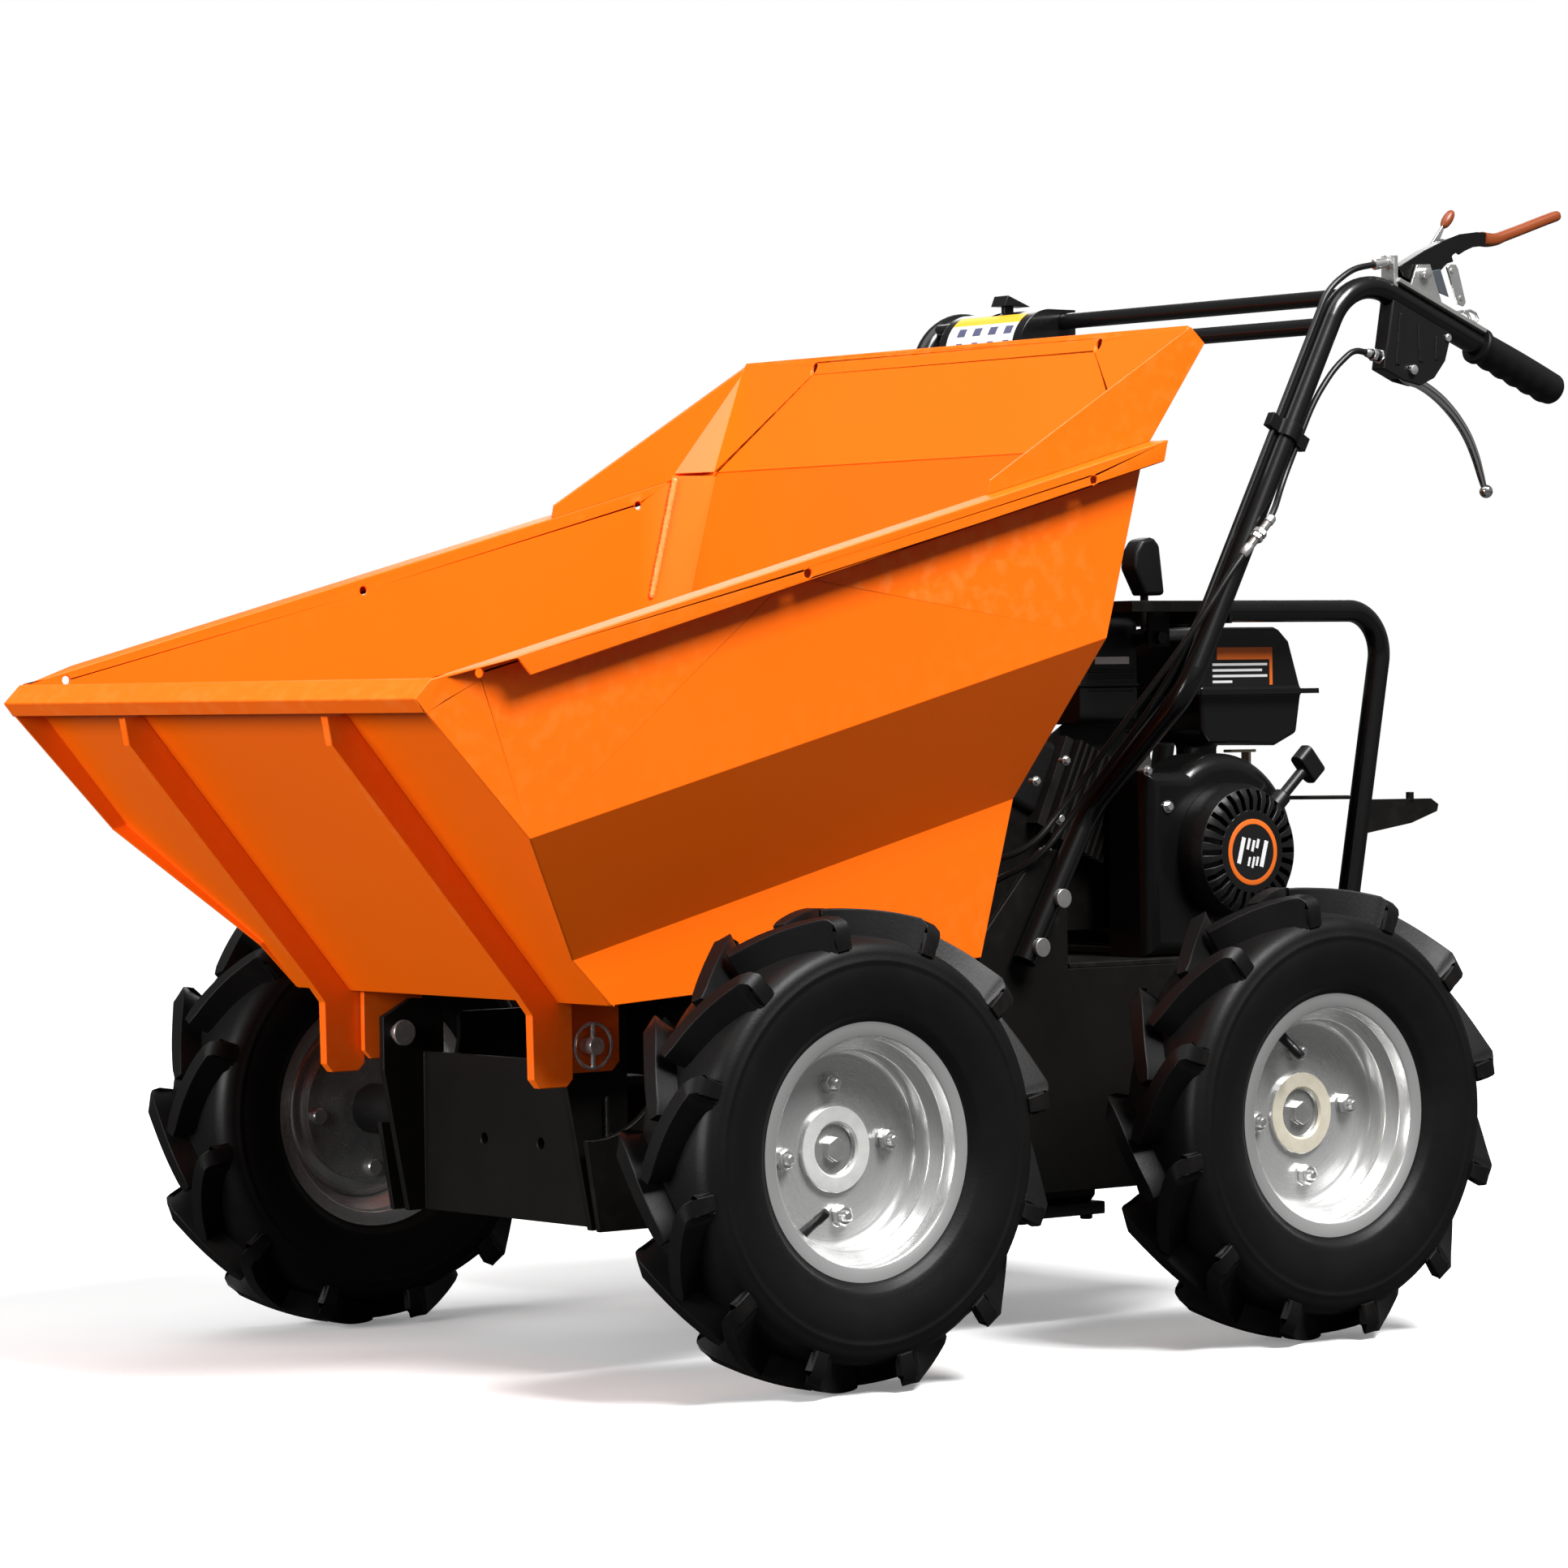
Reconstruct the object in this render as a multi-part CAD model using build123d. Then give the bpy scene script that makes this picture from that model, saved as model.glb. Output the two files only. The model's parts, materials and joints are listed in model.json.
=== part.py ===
from build123d import *
import os
from math import cos, pi, radians, sin, sqrt, tan

# Four-wheel walk-behind tipping barrow, mm. X is the machine's left, -Y its front, +Z up.
# The pieces are laid out with zero on the ground midway between the axles, then moved back by shift_y.
shift_y = 8.3

# wheels
wheelbase = 556.0
axle_z = 210.0
tyre_r = 210.0
tyre_half = 52.0
wheel_x = 374.0
flange_r = 115.5
seat_r = 101.5
well_r = 89.5
disc_x = 361.0
disc_t = 4.0
pilot_r = 38.0
stud_circle = 116.0
stud_r = 5.0
shaft_r = 12.5
shaft_bore_r = 13.0

# bucket
sheet = 2.5
pivot_y = -388.0
pivot_z = 297.0
wide_x = 332.0
narrow_x = 247.0
crease = 0.255
floor_front = (-428.0, 337.0)
floor_rear = (-6.0, 362.0)
lip_z = 623.0
rim_rise = 0.262
back_lean = 0.284
panel_lean = 0.861
rib_x = 158.0
rib_t = 10.0
ear_x = 150.0
ear_t = 6.0
pin_r = 8.0

# chassis
side_x = 158.0
side_t = 6.0
lug_x = 139.0
lug_t = 7.0
rail_z = 285.0
deck_z = 342.0
deck_t = 5.0

# handle
tube_r = 11.0
grip_r = 15.5
low_x = 176.0
high_x = 300.0
guard_x = 150.0
guard_z = 680.0

# engine, crankshaft along X
crank_y = 392.0
crank_z = 447.0
cover_face_x = 185.0
cylinder_tilt = 25.0

os.makedirs("parts", exist_ok=True)


# ---- helpers -------------------------------------------------------------------------------------
def side_plate(points, x0, x1):
    """A plate drawn in the side view as (y, z) points, from x0 to x1."""
    face = make_face(Polyline([(x0, y, z) for y, z in points], close=True))
    return extrude(face, amount=x1 - x0, dir=(1, 0, 0))


def front_plate(points, y0, y1):
    """A plate drawn in the front view as (x, z) points, from y0 to y1."""
    face = make_face(Polyline([(x, y0, z) for x, z in points], close=True))
    return extrude(face, amount=y1 - y0, dir=(0, 1, 0))


def flat_plate(points, z0, z1):
    """A plate drawn in the top view as (x, y) points, from z0 to z1."""
    face = make_face(Polyline([(x, y, z0) for x, y in points], close=True))
    return extrude(face, amount=z1 - z0, dir=(0, 0, 1))


def block(x0, x1, y0, y1, z0, z1):
    return Pos((x0 + x1) / 2, (y0 + y1) / 2, (z0 + z1) / 2) * Box(x1 - x0, y1 - y0, z1 - z0)


def rod(start, end, r):
    """A round bar between two points."""
    start = Vector(*start)
    end = Vector(*end)
    plane = Plane(origin=start, z_dir=end - start)
    return extrude(plane * Circle(r), amount=(end - start).length)


def x_rod(r, x0, x1, y, z):
    return rod((x0, y, z), (x1, y, z), r)


def hex_bar(across, x0, x1, y, z):
    """A hexagon along X, given across its flats."""
    plane = Plane(origin=(x0, y, z), z_dir=(1, 0, 0))
    return extrude(plane * RegularPolygon(across / sqrt(3), 6), amount=x1 - x0)


def bent_rod(points, r, bends):
    """A round bar through points, with a bend radius at each inner point."""
    path = FilletPolyline(*points, radius=bends)
    plane = Plane(origin=path @ 0, z_dir=path % 0)
    return sweep(plane * Circle(r), path=path)


def turned(points, y, z):
    """A ring drawn as (x, radius) points and turned about the line along X through y, z."""
    face = make_face(Polyline([(x, y, z + r) for x, r in points], close=True))
    return revolve(face, Axis((0, y, z), (1, 0, 0)), 360)


def other_side(shape):
    return mirror(shape, about=Plane.YZ)


def pair(shape):
    return [shape, other_side(shape)]


def save(name, *shapes):
    solids = []
    for shape in shapes:
        solids += (Pos(0, -shift_y, 0) * shape).solids()
    body = solids[0] if len(solids) == 1 else Compound(solids)
    export_step(body, "parts/" + name + ".step")


def panel_y(z):
    return floor_front[0] - (z - 340.0) * panel_lean


def back_y(z):
    return 120.0 - back_lean * (805.0 - z)


def rim_top(y):
    return lip_z + rim_rise * (y + 669.0)


def floor_z(y):
    slope = (floor_rear[1] - floor_front[1]) / (floor_rear[0] - floor_front[0])
    return floor_front[1] + slope * (y - floor_front[0])


# ---- wheels --------------------------------------------------------------------------------------
def tyre():
    outer = [(36, seat_r), (36, 116), (41, 118), (50, 140), (tyre_half, 160), (50, 182), (46, 203),
             (30, 208)]
    crown = [(0, tyre_r)]
    inner = [(26, seat_r), (28, 112), (42, 142), (43, 160), (40, 174), (25, 180)]
    points = [(-x, r) for x, r in outer] + crown + outer[::-1] + inner + [(-x, r) for x, r in inner[::-1]]
    return turned(points, 0, 0)


def rim():
    half = [(38.5, flange_r), (36, flange_r), (36, seat_r), (22, seat_r), (15, well_r)]
    under = [(38.5, 99), (23.2, 99), (16.2, 87), (-16.2, 87), (-23.2, 99), (-38.5, 99)]
    ring = turned(half + [(-x, r) for x, r in half[::-1]] + under[::-1], 0, 0)
    middle = disc_x - wheel_x
    disc = turned([(middle, pilot_r + 0.3), (middle, 88), (middle + disc_t, 88),
                   (middle + disc_t, pilot_r + 0.3)],
                  0, 0)
    body = ring + disc
    for spot in PolarLocations(stud_circle / 2, 4, start_angle=5):
        y, z = spot.position.X, spot.position.Y
        body -= x_rod(stud_r + 0.3, middle - 1, middle + disc_t + 1, y, z)
    return body


def axle(y):
    """The shaft of one pair of wheels with a hub welded on each end."""
    shaft = x_rod(shaft_r, -disc_x + 8, disc_x - 8, y, axle_z)
    hub = turned([(disc_x - 8, 0), (disc_x - 8, 70), (disc_x, 70), (disc_x, pilot_r),
                  (disc_x + 8, pilot_r),
                  (disc_x + 8, 24), (disc_x + 3, 22), (disc_x + 3, 0)], y, axle_z)
    hub += hex_bar(19, disc_x + 3, disc_x + 10, y, axle_z)
    for spot in PolarLocations(stud_circle / 2, 4, start_angle=5):
        hub -= x_rod(stud_r, disc_x - 9, disc_x + 1, y + spot.position.X, axle_z + spot.position.Y)
    return shaft + hub + other_side(hub)


def wheel_nuts(y):
    """Eight studs with their nuts, four on each wheel of an axle."""
    nuts = []
    for spot in PolarLocations(stud_circle / 2, 4, start_angle=5):
        py, pz = y + spot.position.X, axle_z + spot.position.Y
        seat = disc_x + disc_t
        stud = x_rod(stud_r, disc_x - 13, seat + 15, py, pz) + hex_bar(17, seat, seat + 9, py, pz)
        stud += x_rod(8, disc_x - 13, disc_x - 8, py, pz)
        nuts += pair(stud)
    return nuts


def axle_housing(y):
    case = chamfer(block(-55, 55, y - 48, y + 48, 162, 258).edges(), 8)
    case += x_rod(24, -345, 345, y, axle_z)
    return case - x_rod(shaft_bore_r, -346, 346, y, axle_z)


# ---- bucket --------------------------------------------------------------------------------------
def side_cut(inset):
    """What is cut from the flanks of the bucket below its two creases; inset moves it inward."""
    along = Vector(0, 1, crease)
    plane = Plane(origin=(0, -574, 487), x_dir=(1, 0, 0), z_dir=along)
    # the local y axis of this plane points down, across the creases
    drop = (Vector(0, -469, 378) - Vector(0, -574, 487)).dot(plane.y_dir)
    wide = wide_x - inset
    narrow = narrow_x - inset
    lift = inset * 0.55
    points = [(wide, -lift), (narrow, drop - lift), (narrow, 600), (600, 600), (600, -lift)]
    face = make_face(Polyline([plane.from_local_coords((x, y, -400)) for x, y in points], close=True))
    return extrude(face, amount=1600, dir=tuple(along.normalized()))


def bucket_section(inset):
    """The filled space between the flanks, far longer than the bucket."""
    half = wide_x - inset
    body = block(-half, half, -900, 400, 200, 1100)
    cut = side_cut(inset)
    return body - cut - other_side(cut)


def bucket_shell():
    outer = bucket_section(0)
    inner = bucket_section(sheet)
    walls = outer - inner
    top = rim_top(133.0)
    flank = side_plate([floor_front, (-469, 378), (-574, 487), (-689, 606), (-669, lip_z), (133, top),
                        (back_y(828), 828), floor_rear], -400, 400)
    body = walls & flank
    top_y = panel_y(lip_z)
    lean = sheet * sqrt(1 + panel_lean ** 2)
    inner_front = (floor_front[0] + lean, floor_front[1])
    panel = side_plate([floor_front, (top_y, lip_z), (top_y + lean, lip_z), inner_front], -400, 400)
    floor = side_plate([floor_front, floor_rear, (floor_rear[0], floor_rear[1] + sheet),
                        (floor_front[0], floor_front[1] + sheet)], -400, 400)
    thick = sheet * sqrt(1 + back_lean ** 2)
    inner_rear = (floor_rear[0] - thick, floor_rear[1])
    back = side_plate([floor_rear, (back_y(828), 828), (back_y(828) - thick, 828), inner_rear], -400, 400)
    body += panel & outer
    body += floor & outer
    body += back & outer
    body += front_lip()
    for flange in pair(side_flange()):
        body += flange
    for corner in pair(back_corner()):
        body += corner
    for y, z in [(42, 795), (-290, 710), (-623, 627)]:
        body -= x_rod(4, -400, 400, y, z)
    return body


def front_lip():
    """The folded front edge: a sloping top face and a slim front face."""
    points = [(panel_y(lip_z), lip_z), (-689, 606), (-679, 594), (-676.7, 595.9), (-684.9, 606),
              (-668, 620.2)]
    return side_plate(points, -wide_x, wide_x)


def side_flange():
    """The outward fold along the top of a flank, turned down at its edge and mitred at its front."""
    width = 24.0
    drop = 20.0
    x0, x1 = wide_x, wide_x + width
    top = side_plate([(-665, rim_top(-665)), (133, rim_top(133)), (133, rim_top(133) - sheet),
                      (-665, rim_top(-665) - sheet)],
                     x0 - sheet, x1)
    mitre = flat_plate([(x0 - 10, -800), (x0 - 10, -680), (x0, -657), (x1 + 1, -600), (x1 + 1, -800)],
                       500, 800)
    top -= mitre
    edge = side_plate([(-602, rim_top(-602)), (133, rim_top(133)), (128, rim_top(133) - drop),
                       (-587, rim_top(-587) - drop)],
                      x1 - sheet, x1)
    return top + edge


def back_corner():
    """The narrow facet that joins the back to a flank."""
    z0 = 660.0
    y0 = back_y(z0)
    points = [(wide_x - sheet, y0 - 42), (wide_x - sheet, y0 - 37), (313, y0 - 2), (307, y0 - 2)]
    face = make_face(Polyline([(x, y, z0) for x, y in points], close=True))
    return extrude(face, amount=(825 - z0) * sqrt(1 + back_lean ** 2), dir=(0, back_lean, 1))


def splash_guard():
    """The raised board behind the load with a wing on each flank."""
    inner = wide_x - sheet
    rear = rim_top(133)
    wing = side_plate([(-64, rim_top(-64)), (-61, rim_top(-64) + 13), (185, 939), (202, 924),
                       (133, rear)], inner, wide_x)
    board = side_plate([(back_y(828), 828), (185, 939), (182, 940.5), (back_y(828) - 3.2, 828)],
                       -inner - 1, inner + 1)
    fold = side_plate([(185, 939), (202, 924), (200, 921.8), (183, 936)], -inner - 1, inner + 1)
    body = board + fold
    for side in (1, -1):
        gusset = make_face(Polyline([(side * inner, 183.5, 937), (side * inner, 88, 827),
                                     (side * 310, 124.5, 828.5)], close=True))
        body += extrude(gusset, amount=2.5, dir=(0, 0.35, 0.5))
    for shape in pair(wing):
        body += shape
    for x in (213, -213):
        body -= Pos(x, 181, 931) * Rot(X=-62) * Cylinder(4, 30)
    return body - bucket_shell()


def bucket_ribs():
    """Two plates under the front panel, each ending in a foot."""
    y_top = panel_y(592)
    points = [(-667, 592), (-662, 567), (-471, 346), (-456, 327), (-455, 270), (-448, 262), (-419, 262),
              (-412, 269),
              (-412, floor_z(-412)), floor_front, (y_top, 592)]
    rib = side_plate(points, rib_x, rib_x + rib_t) - bucket_shell()
    return pair(rib)


def hinge_ears():
    """Two plates under the floor that turn on the hinge pins."""
    points = [(-418, floor_z(-418)), (-352, floor_z(-352)), (-352, 281), (-360, 273), (-410, 273),
              (-418, 281)]
    ear = side_plate(points, ear_x, ear_x + ear_t) - x_rod(pin_r, ear_x - 1, ear_x + ear_t + 1, pivot_y,
                                                           pivot_z)
    return pair(ear)


def hinge_pins():
    pin = x_rod(pin_r, 131, 172, pivot_y, pivot_z) + x_rod(12, 127, 131, pivot_y, pivot_z)
    pin -= rod((165, pivot_y, pivot_z - 20), (165, pivot_y, pivot_z + 20), 2.2)
    return pair(pin)


def ring_pins():
    """A short cross pin with a snap ring round each hinge pin."""
    pin = rod((165, pivot_y, pivot_z - 20), (165, pivot_y, pivot_z + 20), 2.2)
    ring = Pos(165, pivot_y, pivot_z) * Rot(Y=90) * Torus(20, 1.6)
    return pair(pin + ring)


# ---- chassis -------------------------------------------------------------------------------------
def chassis_frame():
    front_y = -wheelbase / 2
    rear_y = wheelbase / 2
    outline = [(-400, 240), (-382, 131), (300, 131), (470, 230), (540, 250), (540, rail_z + 2),
               (-70, rail_z + 2),
               (-70, 312), (-300, 312)]
    side = side_plate(outline, side_x, side_x + side_t)
    side -= x_rod(84, side_x - 10, side_x + 10, pivot_y, pivot_z)
    for y in (front_y, rear_y):
        side -= x_rod(24, side_x - 1, side_x + side_t + 1, y, axle_z)
    rail = block(114, side_x + side_t, -70, 540, rail_z, deck_z)
    rail -= block(117, side_x + side_t - 3, -67, 537, rail_z + 3, deck_z - 3)
    lug = side_plate([(-404, 262), (-378, 131), (-350, 131), (-336, 200), (-336, 326), (-372, 328),
                      (-404, 312)], lug_x, lug_x + lug_t)
    lug -= x_rod(pin_r + 0.08, lug_x - 1, lug_x + lug_t + 1, pivot_y, pivot_z)
    bracket = side_plate([(62, deck_z - 1), (172, deck_z - 1), (172, 440), (160, 455), (138, 455),
                          (62, 372)], side_x, side_x + side_t)
    for y, z in handle_bolts_at():
        bracket -= x_rod(4.2, side_x - 1, side_x + side_t + 1, y, z)
    body = block(-side_x - 1, side_x + 1, -359, -353, 131, 216)
    body += block(-lug_x - 1, lug_x + 1, -359, -353, 215, 278)
    body += block(-side_x - 1, side_x + 1, -356, -64, 131, 137)
    body += block(-side_x - 1, side_x + 1, -45, -10, 300, deck_z)
    body += block(-side_x - 1, side_x + 1, 534, 540, 250, deck_z)
    for shape in (side, rail, lug, bracket):
        for half in pair(shape):
            body += half
    for x in (44, -44):
        body -= rod((x, -370, 202), (x, -340, 202), 5)
    return body


def handle_bolts_at():
    return [(144, 410), (117, 365)]


def engine_deck():
    return block(-side_x - 6, side_x + side_t, 174, 532, deck_z, deck_z + deck_t)


def gearbox():
    body = chamfer(block(-148, 148, -60, 222, 118, 282).edges(), 6)
    flange = block(-152, 152, -64, 226, 110, 118)
    return body + flange - block(-140, 140, -52, 214, 122, 274)


def gearbox_cover():
    """The bottom cover with its row of bolt heads."""
    body = block(-152, 152, -64, 226, 106, 110)
    for x in (-140, 140):
        for y in (-50, 40, 130, 212):
            body += rod((x, y, 101), (x, y, 106), 6)
    return body


def bucket_rests():
    rest = block(96, 140, -42, -13, deck_z, 358.5)
    return pair(chamfer(rest.edges().group_by(Axis.Z)[-1], 2))


# ---- handles -------------------------------------------------------------------------------------
handle_path = [(low_x, 107, 352), (low_x, 190, 492), (high_x, 203, 604), (high_x, 419.3, 1001.4),
               (high_x, 690, 895.2)]
grip_dir = Vector(0, 0.931, -0.365)
grip_up = Vector(0, 0.365, 0.931)
stem_dir = Vector(0, 0.478, 0.878)
stem_front = Vector(0, -0.878, 0.478)


def on_grip(y, up=0.0, x=high_x):
    """A point over the level part of the left handle, at y along it and up from its middle."""
    base = Vector(x, y, 1001.4 - (y - 419.3) * 0.3922)
    return base + grip_up * up


def on_stem(z, out=0.0, x=high_x):
    """A point beside the rising part of the left handle, at height z and out to its front."""
    base = Vector(x, 203 + (z - 604) * 0.5443, z)
    return base + stem_front * out


def handle_tube():
    tube = bent_rod(handle_path, tube_r, [45, 45, 60])
    for y, z in handle_bolts_at():
        tube -= x_rod(4.2, low_x - 20, low_x + 20, y, z)
    return tube - block(side_x, side_x + side_t, 0, 300, 300, 500)


def grip():
    start = on_grip(588)
    end = on_grip(700)
    sleeve = rod(tuple(start), tuple(end), grip_r)
    sleeve = fillet(sleeve.edges().group_by(Axis.Y)[-1], 9)
    collar = rod(tuple(start), tuple(start + grip_dir * 6), grip_r + 2.5)
    return sleeve + collar - handle_tube()


def cross_tube(y, z):
    bar = x_rod(8, -high_x + 6, high_x - 6, y, z)
    tube = handle_tube()
    return bar - tube - other_side(tube)


upper_cross = (409.0, 976.0)
lower_cross = (389.5, 948.0)


def console_plate():
    """A curved sheet wrapped over both cross tubes, closed at its ends, with a slot for the lever."""
    cy, cz, r = 390.0, 947.0, 41.0

    def shape(r, back, low):
        arc = RadiusArc((cy - r, cz), (cy, cz + r), r)
        start = Vector(cy - r, low)
        lines = Polyline([(cy, cz + r), (back, cz + r), (back, low), start, (cy - r, cz)])
        return make_face([arc, lines])

    plane = Plane(origin=(-227, 0, 0), x_dir=(0, 1, 0), z_dir=(1, 0, 0))
    outer = extrude(plane * shape(r, 424, 908), amount=127)
    plane = Plane(origin=(-225, 0, 0), x_dir=(0, 1, 0), z_dir=(1, 0, 0))
    inner = extrude(plane * shape(r - 2, 430, 900), amount=123)
    body = outer - inner
    body -= x_rod(8, -240, -90, *upper_cross)
    body -= x_rod(8, -240, -90, *lower_cross)
    body -= block(-170, -160, 352, 412, 962, 1000)
    return body


def throttle_lever():
    """A flat lever that turns on the lower cross tube, with a wedge knob above the plate."""
    y, z = lower_cross
    ring = x_rod(13, -168, -162, y, z)
    arm = block(-168, -162, y - 6, y + 6, z + 8, z + 48)
    knob = side_plate([(y - 13, z + 46), (y - 8, z + 57), (y + 22, z + 46)], -176, -154)
    body = ring + arm + knob
    return body - x_rod(8.1, -180, -150, y, z)


def handle_clamps():
    """A split collar round each handle stem, with an ear at the front and the rear for a bolt."""
    out = []
    middle = on_stem(846)
    collar = rod(tuple(middle - stem_dir * 8), tuple(middle + stem_dir * 8), 14)
    plane = Plane(origin=middle, x_dir=(1, 0, 0), z_dir=stem_dir)
    ears = extrude(plane * Rectangle(9, 52), amount=7, both=True)
    body = collar + ears
    body -= rod(tuple(on_stem(800)), tuple(on_stem(900)), tube_r)
    body -= rod(tuple(on_stem(800, 17)), tuple(on_stem(900, 17)), 3.6)
    body -= rod(tuple(on_stem(800, -17)), tuple(on_stem(900, -17)), 3.6)
    return pair(body)


def handle_bolts():
    bolts = []
    for y, z in handle_bolts_at():
        bolt = x_rod(4.2, side_x - 8, low_x + tube_r, y, z)
        bolt += x_rod(9, low_x + tube_r - 1.5, low_x + tube_r + 5, y, z)
        bolt += hex_bar(13, side_x - 7, side_x, y, z)
        bolts += pair(bolt - handle_tube())
    return bolts


# ---- levers and cables ---------------------------------------------------------------------------
drive_pivot = (509.0, 1001.0)
lock_pivot = (531.0, 990.0)
brake_pivot = (492.0, 908.0)


def lever_base():
    """A zinc plate on top of the tube with two ears for the drive lever."""
    along = on_grip(528, tube_r + 2)
    plane = Plane(origin=along, x_dir=(1, 0, 0), z_dir=grip_up)
    body = extrude(plane * Rectangle(24, 126), amount=2, both=True)
    foot = tuple(on_grip(486, 13))[1:]
    ear = side_plate([foot, tuple(on_grip(548, 13))[1:], (541, 992), (515, 1011), (500, 1009)], 290.5,
                     293)
    far = side_plate([foot, tuple(on_grip(530, 13))[1:], (518, 1010), (500, 1009)], 307, 309.5)
    body += ear + far
    ferrule = rod((high_x, 474, 1011.7), (high_x, 452, 1008), 5)
    shelf = block(291, 309, 470, 475, 984, 1017)
    body += shelf
    body += ferrule
    body -= x_rod(3.1, 280, 320, *drive_pivot)
    body -= x_rod(2.6, 280, 296, *lock_pivot)
    return body - handle_tube()


def drive_lever():
    """A channel lever with its pivot pin."""
    outline = [(480, 1007), (513, 1023), (543, 1035), (562, 1041), (586, 1044), (606, 1043), (606, 1032),
               (580, 1029), (569, 1025), (561, 1021), (556, 1024), (551, 1019), (553, 1014), (545, 1012),
               (536, 1005), (520, 994), (500, 992), (486, 998)]
    inside = [(470, 985), (478, 1002), (513, 1020), (543, 1032), (562, 1038), (575, 1039.5), (580, 1020),
              (500, 980)]
    body = side_plate(outline, 294, 306)
    body -= side_plate(inside, 296.5, 303.5)
    tongue = bent_rod([(high_x, 597, 1039.5), (high_x, 617, 1037.5), (high_x, 699, 1063.4)], 3.5, [10])
    pin = x_rod(3, 286, 314, *drive_pivot)
    pin += x_rod(5.5, 309.6, 314, *drive_pivot)
    pin += x_rod(5.5, 286, 290.4, *drive_pivot)
    return body + tongue + pin


def drive_sleeve():
    """The soft sleeve over the end of the drive lever."""
    path = [(high_x, 607, 1039), (high_x, 617, 1037.5), (high_x, 704, 1065)]
    outer = bent_rod(path, 5.2, [10])
    return outer - drive_lever()


def lock_lever():
    """The locking stick beside the drive lever, with a knob on its end."""
    outline = [(526, 985), (537, 985), (548, 1028), (561, 1050), (557, 1054), (541, 1032), (526, 996)]
    stick = side_plate(outline, 285.5, 288.5)
    pin = x_rod(2.5, 285.5, 293.8, *lock_pivot)
    knob = rod((287, 558, 1049), (287, 572, 1066), 5)
    knob = fillet(knob.edges(), 2.5)
    return stick + pin + knob


def brake_housing():
    """The clamp under the tube that carries the brake lever."""
    points = [(470, 985), (541, 955), (544, 936), (538, 918), (523, 901), (504, 893), (482, 897),
              (455, 908), (461, 937)]
    body = side_plate(points, 291, 309)
    body -= side_plate([(480, 925), (520, 928), (560, 900), (540, 860), (470, 880), (478, 900)], 294, 306)
    body -= handle_tube()
    body -= x_rod(3, 280, 320, *brake_pivot)
    body -= side_plate([tuple(on_grip(430, 0))[1:], tuple(on_grip(560, 0))[1:],
                        tuple(on_grip(560, 40))[1:],
                        tuple(on_grip(430, 40))[1:]], 280, 320)
    ferrule = rod((high_x, 459, 920), (high_x, 444, 923), 5)
    return body + ferrule


def brake_lever():
    """A curved blade with a ball end and its pivot pin."""
    hub = x_rod(9, 295, 305, *brake_pivot)
    blade = bent_rod([(high_x, 493, 904), (high_x, 528, 889), (high_x, 576, 850), (high_x, 597, 797)],
                     4.2, [30, 60])
    ball = Pos(high_x, 600, 793) * Sphere(6.6)
    pin = x_rod(2.9, 288, 312, *brake_pivot)
    pin += x_rod(5, 309.3, 312, *brake_pivot)
    pin += x_rod(5, 288, 290.7, *brake_pivot)
    return hub + blade + ball + pin


drive_cable_path = [(high_x, 452, 1008), (high_x, 424, 1003.3), (high_x, 390.5, 983),
                    tuple(on_stem(612, 17)),
                    (184, 170, 496), (176, 126, 446), (140, 92, 424), (104, 64, 380), (92, 56, 282)]
brake_cable_path = [(high_x, 444, 923), (high_x, 424, 926.2), (high_x, 398, 908), tuple(on_stem(885, -17)),
                    tuple(on_stem(806, -17)), tuple(on_stem(768, -5, 320)), tuple(on_stem(716, 14, 319)),
                    tuple(on_stem(640, 27, 309)), (252, 160, 566), (204, 146, 508), (196, 98, 456),
                    (152, 60, 442), (108, 32, 390), (100, 22, 282)]


def cable_bends(path):
    """The radius at each inner point, 0.45 of the shorter run over the tangent of half the turn."""
    radii = []
    for before, here, after in zip(path, path[1:], path[2:]):
        a = Vector(*here) - Vector(*before)
        b = Vector(*after) - Vector(*here)
        half = radians(a.get_angle(b)) / 2
        radii.append(0.45 * min(a.length, b.length) / tan(half))
    return radii


def cable(path):
    radii = cable_bends(path)
    print("cable bends", [round(r) for r in radii])
    body = bent_rod(path, 3.0, radii)
    length = FilletPolyline(*path, radius=radii).length
    print("cable volume", round(body.volume), "expected", round(pi * 9 * length))
    return body


# ---- engine --------------------------------------------------------------------------------------
def crankcase():
    body = block(-55, 90, 325, 468, deck_z + deck_t + 8, 515)
    body = chamfer(body.edges().filter_by(Axis.X), 14)
    body += block(-58, 92, 318, 474, deck_z + deck_t, deck_z + deck_t + 8)
    return body - x_rod(12.4, -60, 95, crank_y, crank_z)


def tilted(shape):
    """Moves a shape made along -Y from the crankshaft to the tilt of the cylinder."""
    return Pos(0, crank_y, crank_z) * Rot(X=-cylinder_tilt) * shape


def cylinder():
    body = block(-14, 62, -166, -82, -40, 40)
    for i in range(10):
        y = -162 + i * 8
        body += block(-34, 82, y, y + 3, -52, 46)
    body += block(-28, 76, -176, -166, -48, 44)
    return tilted(body) - crankcase()


def rocker_cover():
    body = block(-18, 66, -212, -176, -40, 36)
    return tilted(fillet(body.edges().group_by(Axis.Y)[0] + body.edges().filter_by(Axis.Y), 9))


def spark_plug():
    plug = rod((-24, -176, -5), (-24, -192, -5), 3.5) + rod((-25, -186, -5), (-38, -216, -5), 5.5)
    return tilted(plug)


def muffler():
    body = block(-118, -20, 196, 318, 566, 640)
    body = fillet(body.edges().filter_by(Axis.Y), 22)
    return body + x_rod(11, -134, -116, 222, 612) - block(-100, -38, 200, 314, 570, 636)


def carburettor():
    body = block(14, 58, 338, 376, 517, 549)
    return body + x_rod(13, 6, 66, 357, 533)


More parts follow.
